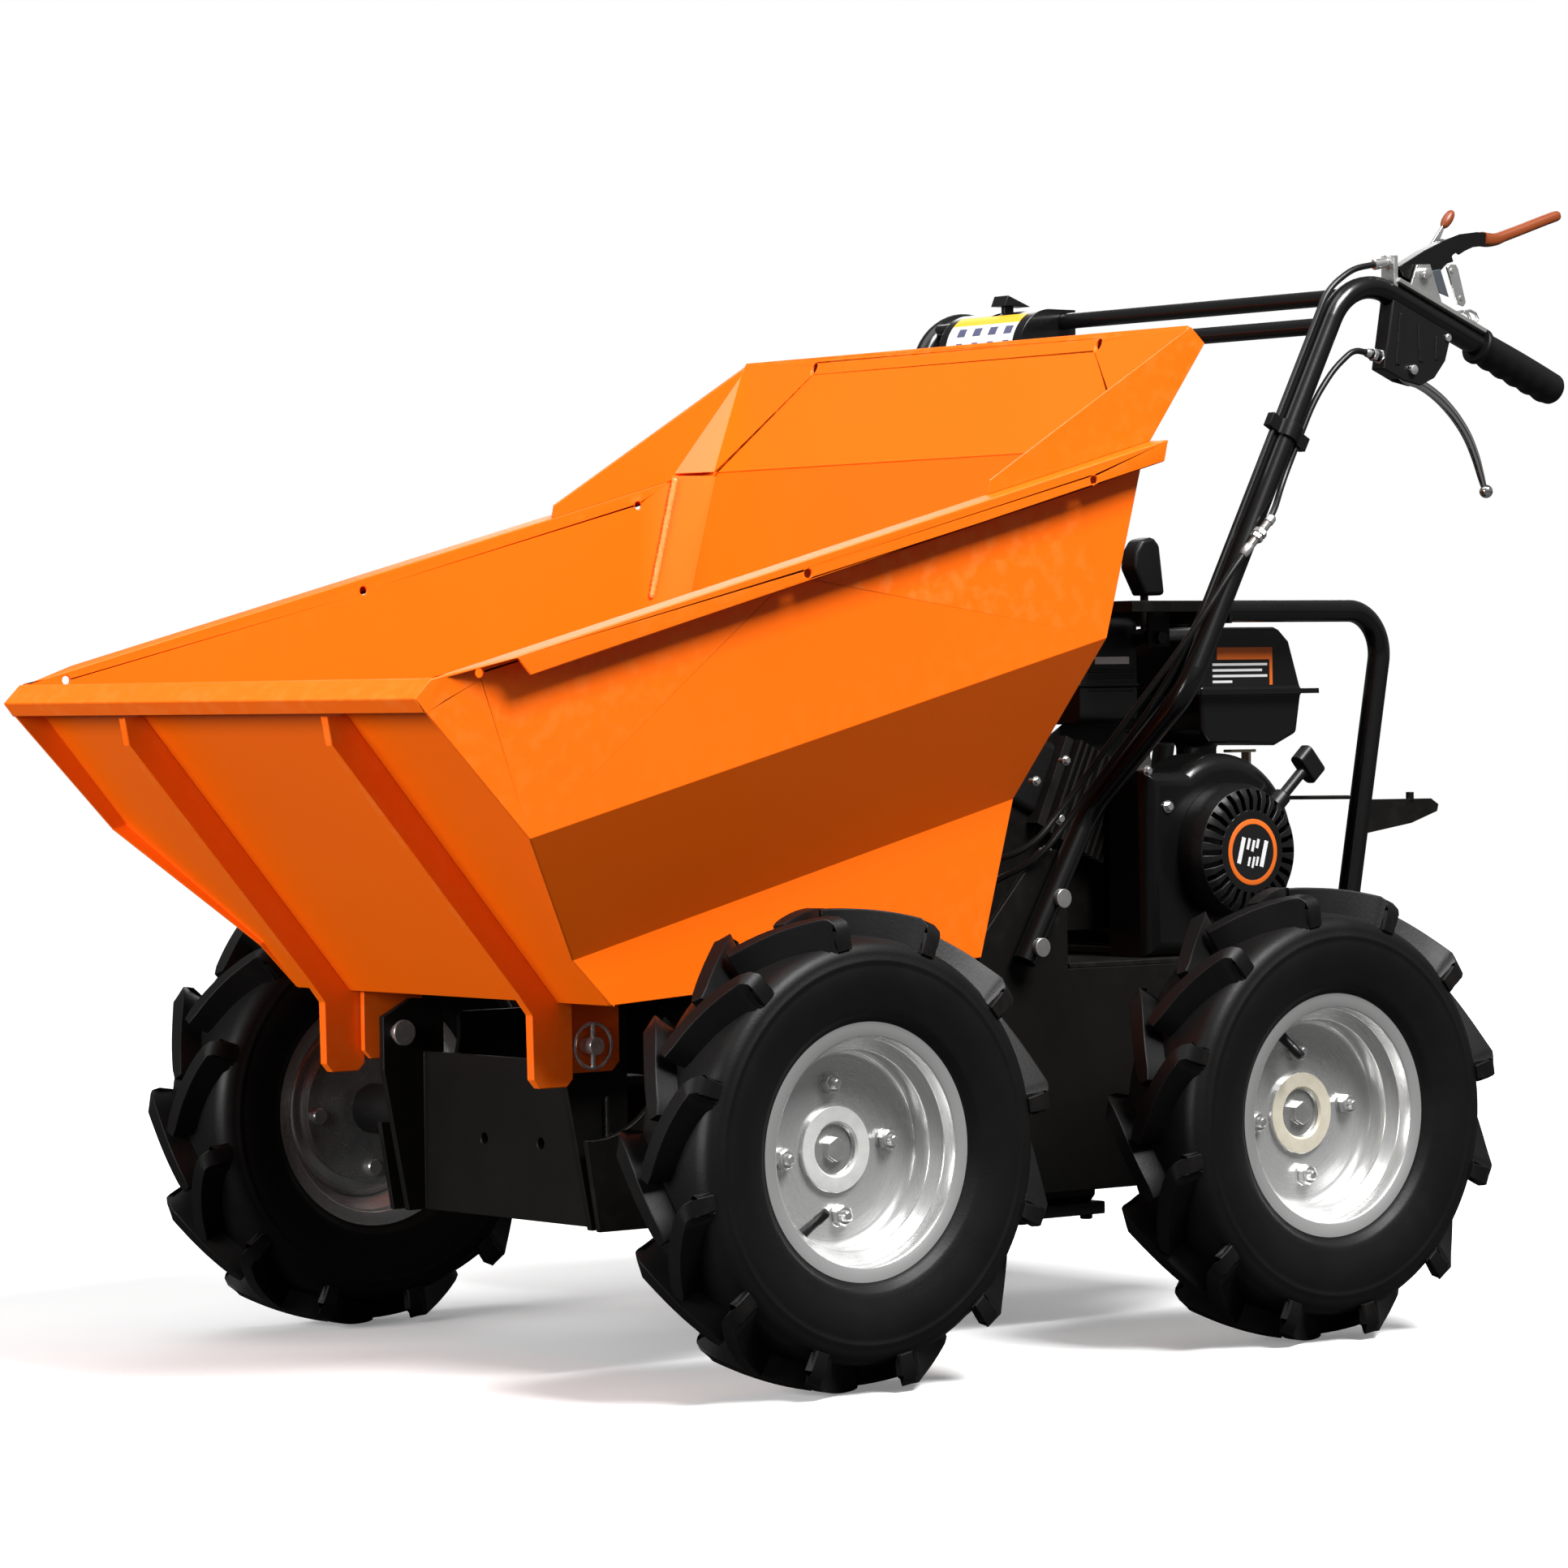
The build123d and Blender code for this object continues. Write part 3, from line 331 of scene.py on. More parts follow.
def newPiece(name, mesh, body, finish, replaced=(), smoothAngle=35.0):
    # mesh is a bpy mesh or a bmesh in row metres
    if isinstance(mesh, bmesh.types.BMesh):
        data = bpy.data.meshes.new(name)
        bmesh.ops.recalc_face_normals(mesh, faces=mesh.faces)
        mesh.to_mesh(data)
        mesh.free()
        mesh = data
    mesh.materials.clear()
    for each in (finish if isinstance(finish, (tuple, list)) else [finish]):
        mesh.materials.append(materials[each])
    mesh.shade_smooth()
    mesh.set_sharp_from_angle(angle=radians(smoothAngle))
    piece = bpy.data.objects.new(name, mesh)
    bpy.context.scene.collection.objects.link(piece)
    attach(piece, body)
    if replaced:
        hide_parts(*replaced)
    return piece


def addBevel(piece, width=0.6, segments=2, angle=32.0):
    bevel = piece.modifiers.new("roundedEdges", "BEVEL")
    bevel.width = width * mm
    bevel.segments = segments
    bevel.limit_method = "ANGLE"
    bevel.angle_limit = radians(angle)
    bevel.use_clamp_overlap = False
    bevel.miter_outer = "MITER_ARC"
    even = piece.modifiers.new("flatFaces", "WEIGHTED_NORMAL")
    even.keep_sharp = True
    even.weight = 100
    return piece


def cleanCopy(node, whole=True):
    # the node's mesh with its split corners joined and, if whole, its flat faces in one piece
    mesh = bmesh.new()
    mesh.from_mesh(nodes[node].data)
    bmesh.ops.remove_doubles(mesh, verts=mesh.verts, dist=0.00001)
    if whole:
        bmesh.ops.dissolve_limit(mesh, angle_limit=radians(0.4), verts=mesh.verts, edges=mesh.edges)
    return mesh


def refine(node, finish, bevel=0.6, segments=2, whole=True):
    # the same shape as the node, with its edges rounded
    mesh = cleanCopy(node, whole)
    piece = newPiece(node + "_look", mesh, bodyOfNode[node], finish, [node])
    if bevel:
        addBevel(piece, bevel, segments)
    return piece


def keepNode(node, finish):
    target = nodes[node]
    target.data.materials.clear()
    target.data.materials.append(materials[finish])


def skinRings(mesh, rings):
    # faces between rings of the same count, with both ends closed
    count = len(rings[0])
    for low, high in zip(rings, rings[1:]):
        for k in range(count):
            n = (k + 1) % count
            mesh.faces.new((low[k], low[n], high[n], high[k]))
    mesh.faces.new(list(reversed(rings[0])))
    mesh.faces.new(rings[-1])


def lathe(profile, centre, steps=96, closed=False, mesh=None):
    # profile: (x, r) in millimetres, turned about the line along X through centre (row metres)
    mesh = mesh or bmesh.new()
    uvLayer = mesh.loops.layers.uv.verify()
    rows = []
    for x, r in profile:
        ring = []
        for i in range(steps):
            a = 2 * pi * i / steps
            ring.append(mesh.verts.new(centre + Vector((x, r * cos(a), r * sin(a))) * mm))
        rows.append(ring)
    length = [0.0]
    for (x0, r0), (x1, r1) in zip(profile, profile[1:]):
        length.append(length[-1] + sqrt((x1 - x0) ** 2 + (r1 - r0) ** 2) / 100)
    count = len(rows) if closed else len(rows) - 1
    for j in range(count):
        k = (j + 1) % len(rows)
        for i in range(steps):
            n = (i + 1) % steps
            corners = [rows[j][i], rows[j][n], rows[k][n], rows[k][i]]
            if profile[j][1] == 0:
                corners = corners[1:]
            elif profile[k][1] == 0:
                corners = [rows[j][i], rows[j][n], rows[k][i]]
            face = mesh.faces.new(corners)
            for loop in face.loops:
                onLow = loop.vert in (rows[j][i], rows[j][n])
                u = (i if loop.vert in (rows[j][i], rows[k][i]) else i + 1) / steps
                loop[uvLayer].uv = (u, length[j] if onLow else length[min(j + 1, len(length) - 1)])
    bmesh.ops.remove_doubles(mesh, verts=[v for row in rows for v in row], dist=1e-7)
    return mesh


def tubeMesh(points, radius, mesh=None, sides=24, radii=None):
    # a tube along row-metre points, with its section carried along without twist; radius in millimetres
    mesh = mesh or bmesh.new()
    path = [Vector(p) for p in points]
    tangents = []
    for i in range(len(path)):
        ahead = path[min(i + 1, len(path) - 1)]
        behind = path[max(i - 1, 0)]
        tangents.append((ahead - behind).normalized())
    side = tangents[0].orthogonal().normalized()
    rings = []
    for i, (p, t) in enumerate(zip(path, tangents)):
        if i:
            side = side - t * side.dot(t)
            side.normalize()
        other = t.cross(side)
        r = (radii[i] if radii else radius) * mm
        rings.append([mesh.verts.new(p + (side * cos(a) + other * sin(a)) * r)
                      for a in [2 * pi * k / sides for k in range(sides)]])
    skinRings(mesh, rings)
    return mesh


def hexSolid(mesh, base, direction, across, height, turn=0.0):
    # a nut or bolt head with chamfered corners and a slightly raised washer face; millimetres
    direction = direction.normalized()
    u = direction.orthogonal().normalized()
    v = direction.cross(u)
    outer = across / sqrt(3)
    rings = []
    levels = [(0.0, 0.90), (0.06, 1.0), (0.88, 1.0), (1.0, 0.86)]
    for level, scale in levels:
        ring = []
        for k in range(12):
            a = 2 * pi * k / 12 + turn
            flat = cos(pi / 6)
            r = outer * (1.0 if k % 2 == 0 else flat)
            if scale < 1:
                r = min(r, outer * flat) * scale / 0.86 * 0.93 if scale < 0.88 else min(r, outer * flat)
            outward = (u * cos(a) + v * sin(a)) * (r * mm)
            ring.append(mesh.verts.new(base + direction * (height * level * mm) + outward))
        rings.append(ring)
    skinRings(mesh, rings)


def roundSolid(mesh, base, direction, profile, sides=32):
    # a turned piece: profile of (height, radius) in millimetres from base along direction
    direction = direction.normalized()
    u = direction.orthogonal().normalized()
    v = direction.cross(u)
    rings = []
    for height, r in profile:
        centre = base + direction * (height * mm)
        rings.append([mesh.verts.new(centre + (u * cos(a) + v * sin(a)) * (max(r, 0.01) * mm))
                      for a in [2 * pi * k / sides for k in range(sides)]])
    skinRings(mesh, rings)


def threadProfile(start, length, radius, pitch=1.25, depth=0.45):
    profile = [(start, radius - depth)]
    count = int(length / pitch)
    for i in range(count):
        profile.append((start + (i + 0.5) * pitch, radius))
        profile.append((start + (i + 1) * pitch, radius - depth))
    return profile


def weldBead(mesh, points, radius, seed=0, step=2.4):
    # a bumpy bead laid along row-metre points
    path = [Vector(points[0])]
    for a, b in zip(points, points[1:]):
        a, b = Vector(a), Vector(b)
        count = max(1, int((b - a).length / (step * mm)))
        for i in range(1, count + 1):
            path.append(a.lerp(b, i / count))
    radii = []
    for i, p in enumerate(path):
        swell = 1.0 + 0.28 * (i % 2) + 0.25 * noise.noise(Vector((i * 0.61 + seed, seed * 1.7, 0.3)))
        radii.append(radius * swell * (0.55 if i in (0, len(path) - 1) else 1.0))
    return tubeMesh(path, radius, mesh, sides=8, radii=radii)


def boxMesh(mesh, low, high, spin=None, pivot=None):
    # a block between two row-metre corners, optionally turned about a pivot
    corners = [Vector((x, y, z)) for x in (low[0], high[0]) for y in (low[1], high[1])
               for z in (low[2], high[2])]
    if spin is not None:
        corners = [pivot + spin @ (c - pivot) for c in corners]
    v = [mesh.verts.new(c) for c in corners]
    for face in ((0, 1, 3, 2), (4, 6, 7, 5), (0, 4, 5, 1), (2, 3, 7, 6), (0, 2, 6, 4), (1, 5, 7, 3)):
        mesh.faces.new([v[i] for i in face])
    return v


def plateMesh(mesh, outline, x0, x1):
    # a flat plate across X, outline of (y, z) in millimetres
    rings = [[mesh.verts.new(at(x, y, z)) for y, z in outline] for x in (x0, x1)]
    skinRings(mesh, rings)
    return mesh


def flatTube(mesh, points, widths, heights, sides=24, power=0.7):
    # a strip with a rounded flat section: widths along X, heights across it; points are (x, y, z)
    path = [at(*p) for p in points]
    rings = []
    for i, p in enumerate(path):
        along = (path[min(i + 1, len(path) - 1)] - path[max(i - 1, 0)]).normalized()
        up = Vector((1, 0, 0)).cross(along).normalized()
        ring = []
        for k in range(sides):
            a = 2 * pi * k / sides
            across = abs(cos(a)) ** power * (1 if cos(a) > 0 else -1) * widths[i] / 2
            lift = abs(sin(a)) ** power * (1 if sin(a) > 0 else -1) * heights[i] / 2
            ring.append(mesh.verts.new(p + Vector((across * mm, 0, 0)) + up * (lift * mm)))
        rings.append(ring)
    skinRings(mesh, rings)
    return mesh


def curvePoints(points, steps=6):
    # a soft curve through the given millimetre points
    result = []
    last = len(points) - 1
    for i in range(last):
        p0, p1, p2, p3 = (Vector(points[min(max(i + k, 0), last)]) for k in (-1, 0, 1, 2))
        for k in range(steps):
            t = k / steps
            result.append(0.5 * (2 * p1 + (p2 - p0) * t + (2 * p0 - 5 * p1 + 4 * p2 - p3) * t * t
                                 + (3 * p1 - p0 - 3 * p2 + p3) * t ** 3))
    result.append(Vector(points[-1]))
    return result


def spread(values, count):
    # the values read evenly over count places
    result = []
    for i in range(count):
        f = i * (len(values) - 1) / (count - 1)
        k = min(int(f), len(values) - 2)
        result.append(values[k] + (values[k + 1] - values[k]) * (f - k))
    return result


def paintWhere(piece, finish, test):
    # a second finish on the faces whose middle, in millimetres, passes the test
    data = piece.data
    data.materials.append(materials[finish])
    slot = len(data.materials) - 1
    for face in data.polygons:
        c = face.center
        if test(c.x / mm, (c.y + back) / mm, c.z / mm):
            face.material_index = slot


def sticker(name, face, low, high, finish, lift=0.25):
    # a thin block on a face across X at x = face; low and high are (y, z)
    mesh = bmesh.new()
    boxMesh(mesh, at(face, *low), at(face + lift, *high))
    return newPiece(name, mesh, "chassis", finish)


tyreLook = {"lugs": 12, "crown": 187.0, "top": 209.5, "sweep": 24.0, "base": 10.5, "tip": 7.2, "width": 51.6}


def carcassRadius(x):
    # radius of the casing under the lugs, x from the middle
    return tyreLook["crown"] - 5.5 * (abs(x) / 48.0) ** 2.6


def addLug(mesh, centre, angle, side):
    # one bar from the middle of the tread out over the shoulder, side is +1 or -1 along X
    foot, tip = tyreLook["base"], tyreLook["tip"]
    rows = []
    steps = 12
    for i in range(steps + 1):
        t = i / steps
        x = -5 + 53.5 * t
        sweep = radians(tyreLook["sweep"]) * (1 - t) ** 1.35
        top = tyreLook["top"] - 1.2 * (x / 48.0) ** 2 - (5.5 * max(0.0, (x - 40) / 8.5) ** 2)
        rows.append((x, sweep, top, 1.0 if i else 0.72))
    rows.append((50.4, 0.0, 197.0, 1.0))
    rows.append((51.2, 0.0, 189.0, 0.98))
    rows.append((50.2, 0.0, 178.0, 0.9))
    rings = []
    for i, (x, sweep, top, grow) in enumerate(rows):
        ahead = rows[min(i + 1, steps)]
        behind = rows[max(min(i, steps) - 1, 0)]
        dx = ahead[0] - behind[0]
        du = -(ahead[1] - behind[1]) * 200
        size = sqrt(dx * dx + du * du) or 1.0
        nx, nu = (du / size, dx / size) if i <= steps else (0.0, 1.0)
        if x > 38 and i <= steps:
            fade = min(1.0, (x - 38) / 8)
            nx *= 1 - fade
            nu = sqrt(1 - nx * nx)
        base = carcassRadius(min(x, 47)) - 4 if i <= steps else 165.0
        ring = []
        for w, r in ((-foot, base), (-tip - 0.6, top - 2.0), (-tip, top), (tip, top), (tip + 0.6, top - 2.0),
                     (foot, base)):
            w *= grow
            px = min(x + nx * w, tyreLook["width"])
            if i > steps:
                # on the sidewall the bar lies flat against the casing
                px = x if r != base else 44.0
                r = top
            a = angle + sweep + (nu * w) / 200.0
            ring.append(mesh.verts.new(centre + Vector((side * px, r * cos(a), r * sin(a))) * mm))
        rings.append(ring)
    skinRings(mesh, rings)


# from the bead outward, (x from the middle, radius)
sidewallOutline = [(26.0, 101.8), (30.0, 101.8), (36.0, 102.0), (37.4, 106.0), (38.2, 112.0), (40.5, 117.0),
                   (44.0, 119.5), (45.5, 122.5), (46.6, 127.0), (48.6, 134.0), (50.4, 143.0), (51.2, 152.0),
                   (51.0, 160.0), (50.4, 163.0), (51.2, 164.5), (51.0, 166.5), (50.2, 168.0), (49.6, 172.0),
                   (48.2, 177.5)]


def wheelFrame(node):
    # middle of the node's box, and which way is out: +1 on the left, -1 on the right
    low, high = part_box(node)
    centre = (low + high) / 2
    return centre, 1.0 if centre.x > 0 else -1.0


def makeTyre(node):
    centre, out = wheelFrame(node)
    crown = [(x, carcassRadius(x)) for x in (42, 34, 24, 12, 0)]
    side = sidewallOutline + crown
    profile = [(-x, r) for x, r in side] + [(x, r) for x, r in reversed(side[:-1])]
    mesh = lathe(profile, centre, steps=144, closed=True)
    lugs = bmesh.new()
    for k in range(tyreLook["lugs"]):
        for side in (1, -1):
            angle = 2 * pi * (k + (0.5 if side < 0 else 0.0)) / tyreLook["lugs"] + radians(10)
            addLug(lugs, centre, angle, side)
    newPiece(node + "_casing", mesh, bodyOfNode[node], "tyreRubber", [node], smoothAngle=60)
    bars = newPiece(node + "_lugs", lugs, bodyOfNode[node], "tyreRubber", smoothAngle=40)
    addBevel(bars, 1.6, 3, 38)
    bars.modifiers["roundedEdges"].use_clamp_overlap = True


# (x from the middle, radius) of the open steel skin: bead, two steps and half the well, outside and inside
outerHalf = [(38.5, 115.4), (37.2, 116.2), (35.9, 115.2), (35.9, 102.6), (34.0, 101.4), (23.5, 101.4),
             (21.6, 100.6), (15.8, 90.6), (14.2, 89.6)]
innerHalf = [(15.4, 87.1), (17.4, 88.2), (22.8, 98.0), (24.6, 99.0), (36.8, 99.1), (38.4, 101.0)]
wellOutline = outerHalf + [(-x, r) for x, r in reversed(outerHalf)]
wellOutline += [(-x, r) for x, r in reversed(innerHalf)] + innerHalf
discOutline = [(-13.0, 38.0), (-13.0, 79.0), (-11.5, 83.5), (-7.5, 87.2), (-3.0, 87.4), (-2.4, 87.3),
               (-6.0, 85.0), (-8.6, 81.0), (-9.0, 78.0), (-9.0, 70.0), (-9.0, 46.0), (-9.2, 42.0),
               (-9.0, 38.0)]


def makeRim(node):
    centre, out = wheelFrame(node)
    mesh = lathe([(out * x, r) for x, r in wellOutline], centre, steps=128, closed=True)
    lathe([(out * x, r) for x, r in discOutline], centre, steps=128, closed=True, mesh=mesh)
    newPiece(node + "_spun", mesh, bodyOfNode[node], "rimSteel", [node], smoothAngle=50)


# from the foot in the well to the tip, (height, radius)
valveOutline = [(-2, 7.6), (1.5, 7.4), (4, 6.2), (7, 4.9), (14, 4.4), (20, 4.2), (21, 3.9), (21, 4.6),
                (33, 4.4), (34, 3.6)]


def makeValve(node, degrees):
    # a rubber stem standing out of the well of the rim
    centre, out = wheelFrame(node)
    a = radians(degrees)
    radial = Vector((0, cos(a), sin(a)))
    foot = centre + radial * (87.0 * mm) + Vector((out * 3 * mm, 0, 0))
    lean = (Vector((out * 0.62, 0, 0)) - radial * 0.78).normalized()
    mesh = bmesh.new()
    roundSolid(mesh, foot, lean, valveOutline, 28)
    newPiece(node.replace("rim", "valve"), mesh, bodyOfNode[node], "cableSheath", smoothAngle=40)


hubLook = {"face": 369.2, "front": "hubBright", "rear": "hubCream",
           "ring": [(-0.5, 37.6), (0.3, 37.2), (0.5, 36.6), (0.5, 24.6), (-0.6, 23.4), (-1.6, 22.6)]}


def makeHub(end):
    # the axle, with a turned ring on the hub face at each wheel
    node = "axle_" + end
    low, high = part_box(node)
    y, z = (low.y + high.y) / 2, (low.z + high.z) / 2
    refine(node, "zinc", 0.5)
    for side, sideName in ((1, "left"), (-1, "right")):
        mesh = bmesh.new()
        face = Vector((side * hubLook["face"] * mm, y, z))
        lathe([(side * x, r) for x, r in hubLook["ring"]], face, 96, mesh=mesh)
        newPiece(node + "_ring_" + sideName, mesh, bodyOfNode[node], hubLook[end], smoothAngle=30)


nutLook = {"seat": 365.1, "circle": 58.0, "first": 5.0, "across": 16.6, "height": 7.4}


def makeWheelNuts(node):
    low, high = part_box(node)
    y, z = (low.y + high.y) / 2, (low.z + high.z) / 2
    mesh = bmesh.new()
    for side in (1, -1):
        for k in range(4):
            a = radians(nutLook["first"] + 90 * k)
            circle = nutLook["circle"] * mm
            seat = Vector((side * nutLook["seat"] * mm, y + circle * cos(a), z + circle * sin(a)))
            axis = Vector((side, 0, 0))
            roundSolid(mesh, seat, axis, [(0, 10.2), (1.5, 10.2), (1.7, 9.9), (1.7, 5)], 32)
            top = seat + axis * (1.7 * mm)
            hexSolid(mesh, top, axis, nutLook["across"], nutLook["height"], turn=radians(17 * k))
            stud = [(2, 4.0)] + threadProfile(9, 4.6, 5.0) + [(14.4, 4.0), (14.9, 3.2)]
            roundSolid(mesh, seat, axis, stud, 28)
            roundSolid(mesh, seat, -axis, [(12.2, 5), (12.2, 8.0), (16.2, 8.0), (17.6, 7.0)], 28)
    newPiece(node + "_look", mesh, bodyOfNode[node], "zinc", [node], smoothAngle=32)


valveAngles = {"front": 236, "rear": 116}
for end in ("front", "rear"):
    for side in ("left", "right"):
        makeTyre("tyre_" + end + "_" + side)
        makeRim("rim_" + end + "_" + side)
        makeValve("rim_" + end + "_" + side, valveAngles[end])
    makeHub(end)
    makeWheelNuts("wheel_nuts_" + end)
print("wheels done")

# nodes that keep their shape and get rounded edges: finish, then {node: bevel width in millimetres}
dressedNodes = {
    "orangePaint": {"bucket_ribs": 0.9, "hinge_ears": 0.8},
    "zinc": {"hinge_pins": 0.6, "ring_pins": 0, "handle_bolts": 0.5, "lever_base": 0.4},
    "chassisBlack": {"chassis_frame": 0.9, "engine_deck": 0.8, "gate_plate": 0.8, "rear_bracket": 0.6},
    "castBlack": {"gearbox": 1.2, "axle_housing_front": 1.2, "axle_housing_rear": 1.2, "crankcase": 1.5,
                  "rocker_cover": 1.2},
    "gripRubber": {"bucket_rests": 0.8},
    "glossBlack": {"cross_tube_upper": 0, "cross_tube_lower": 0, "console_plate": 0.5, "handle_clamps": 0.5,
                   "blower_housing": 0.8, "guard_tubes": 0},
    "satinPlastic": {"brake_housing": 1.4, "spark_plug": 0.5, "air_filter": 1.2, "recoil_cover": 0.5,
                     "throttle_lever": 0.8, "shift_lever": 0.4, "recoil_handle": 1.6, "fuel_cap": 1.0},
    "darkIron": {"cylinder": 0.4, "muffler": 0.8, "flywheel": 0.6},
    "castAluminium": {"carburettor": 0.8},
}
refine("bucket_shell", "orangePaint", 1.0, whole=False)
refine("splash_guard", "orangePaint", 0.7, whole=False)
for finish, members in dressedNodes.items():
    for node, bevel in members.items():
        refine(node, finish, bevel)
refine("shift_knob", "satinPlastic", 4.0, 4)
refine("fuel_tank", "tankBlack", 4.0, 4)
lever = refine("drive_lever", "glossBlack", 0.5)
paintWhere(lever, "zinc", lambda x, y, z: abs(x - 300) > 7 and z < 1012)
for node in ("handle_left", "handle_right"):
    keepNode(node, "glossBlack")
for node in ("drive_cable", "brake_cable"):
    keepNode(node, "cableSheath")
print("frame dressed")


gripLook = {"start": 588.0, "end": 700.0, "radius": 15.4, "collar": 18.4, "bumps": 5, "bump": 1.7,
            "swell": 0.9, "groove": 0.28}
gripAlong = Vector((0, 0.931, -0.365))
gripUp = Vector((0, 0.365, 0.931))
sideways = Vector((1, 0, 0))


def onGrip(y, up=0.0, x=300.0):
    # a point over the level part of the left handle, in millimetres
    return Vector((x, y, 1001.4 - (y - 419.3) * 0.3922)) + gripUp * up


def makeGrip(node, side):
    # a moulded grip: collar, finger bumps underneath and fine grooves round it
    look = gripLook
    length = (look["end"] - look["start"]) / 0.931
    mesh = bmesh.new()
    stations = [0.0, 0.6, 1.4, 3.5, 5.0, 6.2, 7.0, 8.0]
    while stations[-1] < length - 9:
        stations.append(stations[-1] + 1.15)
    stations += [length - 9 + 9 * sin(radians(a)) for a in (15, 30, 45, 58, 70, 80, 87, 90)]
    sides = 48
    rings = []
    for i, s in enumerate(stations):
        t = s / length
        if s < 6.5:
            base = look["collar"] - 0.9 * max(0.0, 1 - s / 1.4) - 0.6 * max(0.0, (s - 5.0) / 1.5)
        else:
            base = look["radius"] + look["swell"] * sin(pi * t)
            if i % 2 and s < length - 12:
                base -= look["groove"]
        if s > length - 9:
            base *= max(0.34, sqrt(max(0.0, 1 - ((s - length + 9) / 9) ** 2)))
        centre = onGrip(look["start"], 0, side * 300.0) + gripAlong * s
        ring = []
        for k in range(sides):
            a = 2 * pi * k / sides
            under = max(0.0, -sin(a)) ** 1.5
            finger = 0.0
            if 12 < s < length - 9:
                wave = cos(2 * pi * look["bumps"] * (s - 12) / (length - 21))
                finger = look["bump"] * under * (0.5 - 0.5 * wave)
            r = base + finger
            point = centre + Vector((cos(a) * r, 0, 0)) + gripUp * (sin(a) * r)
            ring.append(mesh.verts.new(at(*point)))
        rings.append(ring)
    skinRings(mesh, rings)
    newPiece(node + "_moulded", mesh, "chassis", "gripRubber", [node], smoothAngle=50)


makeGrip("grip_left", 1)
makeGrip("grip_right", -1)


# paths are (x, y, z); widths and heights are read evenly along them
sleeveLook = {"path": [(300, 597, 1037.9), (300, 606, 1037.3), (300, 616, 1038.4), (300, 626, 1041.4),
                       (300, 650, 1048.7), (300, 680, 1058.2), (300, 699, 1064), (300, 703.4, 1065.3),
                       (300, 705, 1065.8)],
              "widths": [15.8, 15.6, 13.8, 13.0, 12.6, 12.6, 12.6, 9.5, 4.0],
              "heights": [14.2, 13.6, 12.0, 10.8, 10.4, 10.4, 10.4, 7.8, 3.0]}


def makeDriveSleeve():
    # soft flat sleeve with an open, flared mouth
    points = curvePoints(sleeveLook["path"], 5)
    widths = spread(sleeveLook["widths"], len(points))
    heights = spread(sleeveLook["heights"], len(points))
    mesh = flatTube(bmesh.new(), points, widths, heights, power=0.75)
    newPiece("drive_sleeve_moulded", mesh, "drive_lever", "redSleeve", ["drive_sleeve"], 60)


lockLook = {"stick": [(526, 985), (537, 985), (547, 1026), (560, 1049), (557.5, 1051), (541, 1032),
                      (526, 996)],
            "from": 285.5, "to": 288.0, "pin": [(-1.6, 3.6), (-1.2, 4.2), (0, 4.2), (0, 2.5), (8.3, 2.5)],
            "knobLength": 21.6, "knobRadius": 5.2}


def makeLockLever():
    # bright bent stick with a red oval knob, on a small shouldered pin
    look = lockLook
    mesh = bmesh.new()
    plateMesh(mesh, look["stick"], look["from"], look["to"])
    roundSolid(mesh, at(look["from"], 531, 990), sideways, look["pin"], 24)
    stick = newPiece("lock_lever_stick", mesh, "lock_lever", "zinc", ["lock_lever"], 30)
    addBevel(stick, 0.3)
    half = look["knobLength"] / 2
    profile = [(half - half * cos(radians(a)), look["knobRadius"] * sin(radians(a)) ** 0.8)
               for a in range(14, 180, 12)]
    knob = bmesh.new()
    roundSolid(knob, at(287, 557.6, 1048.4), Vector((0, 14, 17)), [(0.0, 1.8)] + profile, 32)
    newPiece("lock_lever_knob", knob, "lock_lever", "redSleeve", smoothAngle=60)


brakeLook = {"path": [(300, 487, 905), (300, 496, 899.5), (300, 510, 895.5), (300, 526, 888.5),
                      (300, 543, 878), (300, 560, 863.5), (300, 575, 846), (300, 586, 826), (300, 593, 808),
                      (300, 597, 797)],
             "widths": [9.6, 9.6, 9.2, 8.8, 8.6, 8.6, 8.4, 8.0, 7.0, 5.4],
             "heights": [13.0, 11.0, 9.6, 9.8, 10.0, 9.6, 9.0, 8.0, 6.6, 5.2],
             "boss": [(0, 8.6), (0.5, 9.2), (9.5, 9.2), (10, 8.6)],
             "pin": [(-0.4, 3.0), (0, 4.6), (2.6, 5.0), (2.6, 2.9), (21.4, 2.9), (21.4, 5.0), (24, 4.6),
                     (24.4, 3.0)],
             "ball": 6.6}


def makeBrakeLever():
    # polished flat blade, widest in its middle, with a ball end and a shouldered pivot
    look = brakeLook
    points = curvePoints(look["path"], 5)
    widths = spread(look["widths"], len(points))
    heights = spread(look["heights"], len(points))
    mesh = flatTube(bmesh.new(), points, widths, heights, sides=28, power=0.8)
    roundSolid(mesh, at(295, 492, 908), sideways, look["boss"], 40)
    roundSolid(mesh, at(288, 492, 908), sideways, look["pin"], 32)
    r = look["ball"]
    ball = [(r - r * cos(radians(a)), r * sin(radians(a))) for a in range(6, 180, 12)]
    roundSolid(mesh, at(300, 597.6, 799.2), Vector((0, 0.36, -0.933)), ball, 40)
    newPiece("brake_lever_blade", mesh, "brake_lever", "chrome", ["brake_lever"], 45)


makeDriveSleeve()
makeLockLever()
makeBrakeLever()


# each adjuster: where it starts, which way it runs, and the parts along it
adjusterLook = {"drive": {"place": (300, 474, 1011.7), "run": (0, -0.985, -0.17)},
                "brake": {"place": (300, 462, 919.4), "run": (0, -0.98, 0.196)},
                "stem": {"place": (320, 296.7, 765.6), "towards": (319, 251.7, 722.7)}}


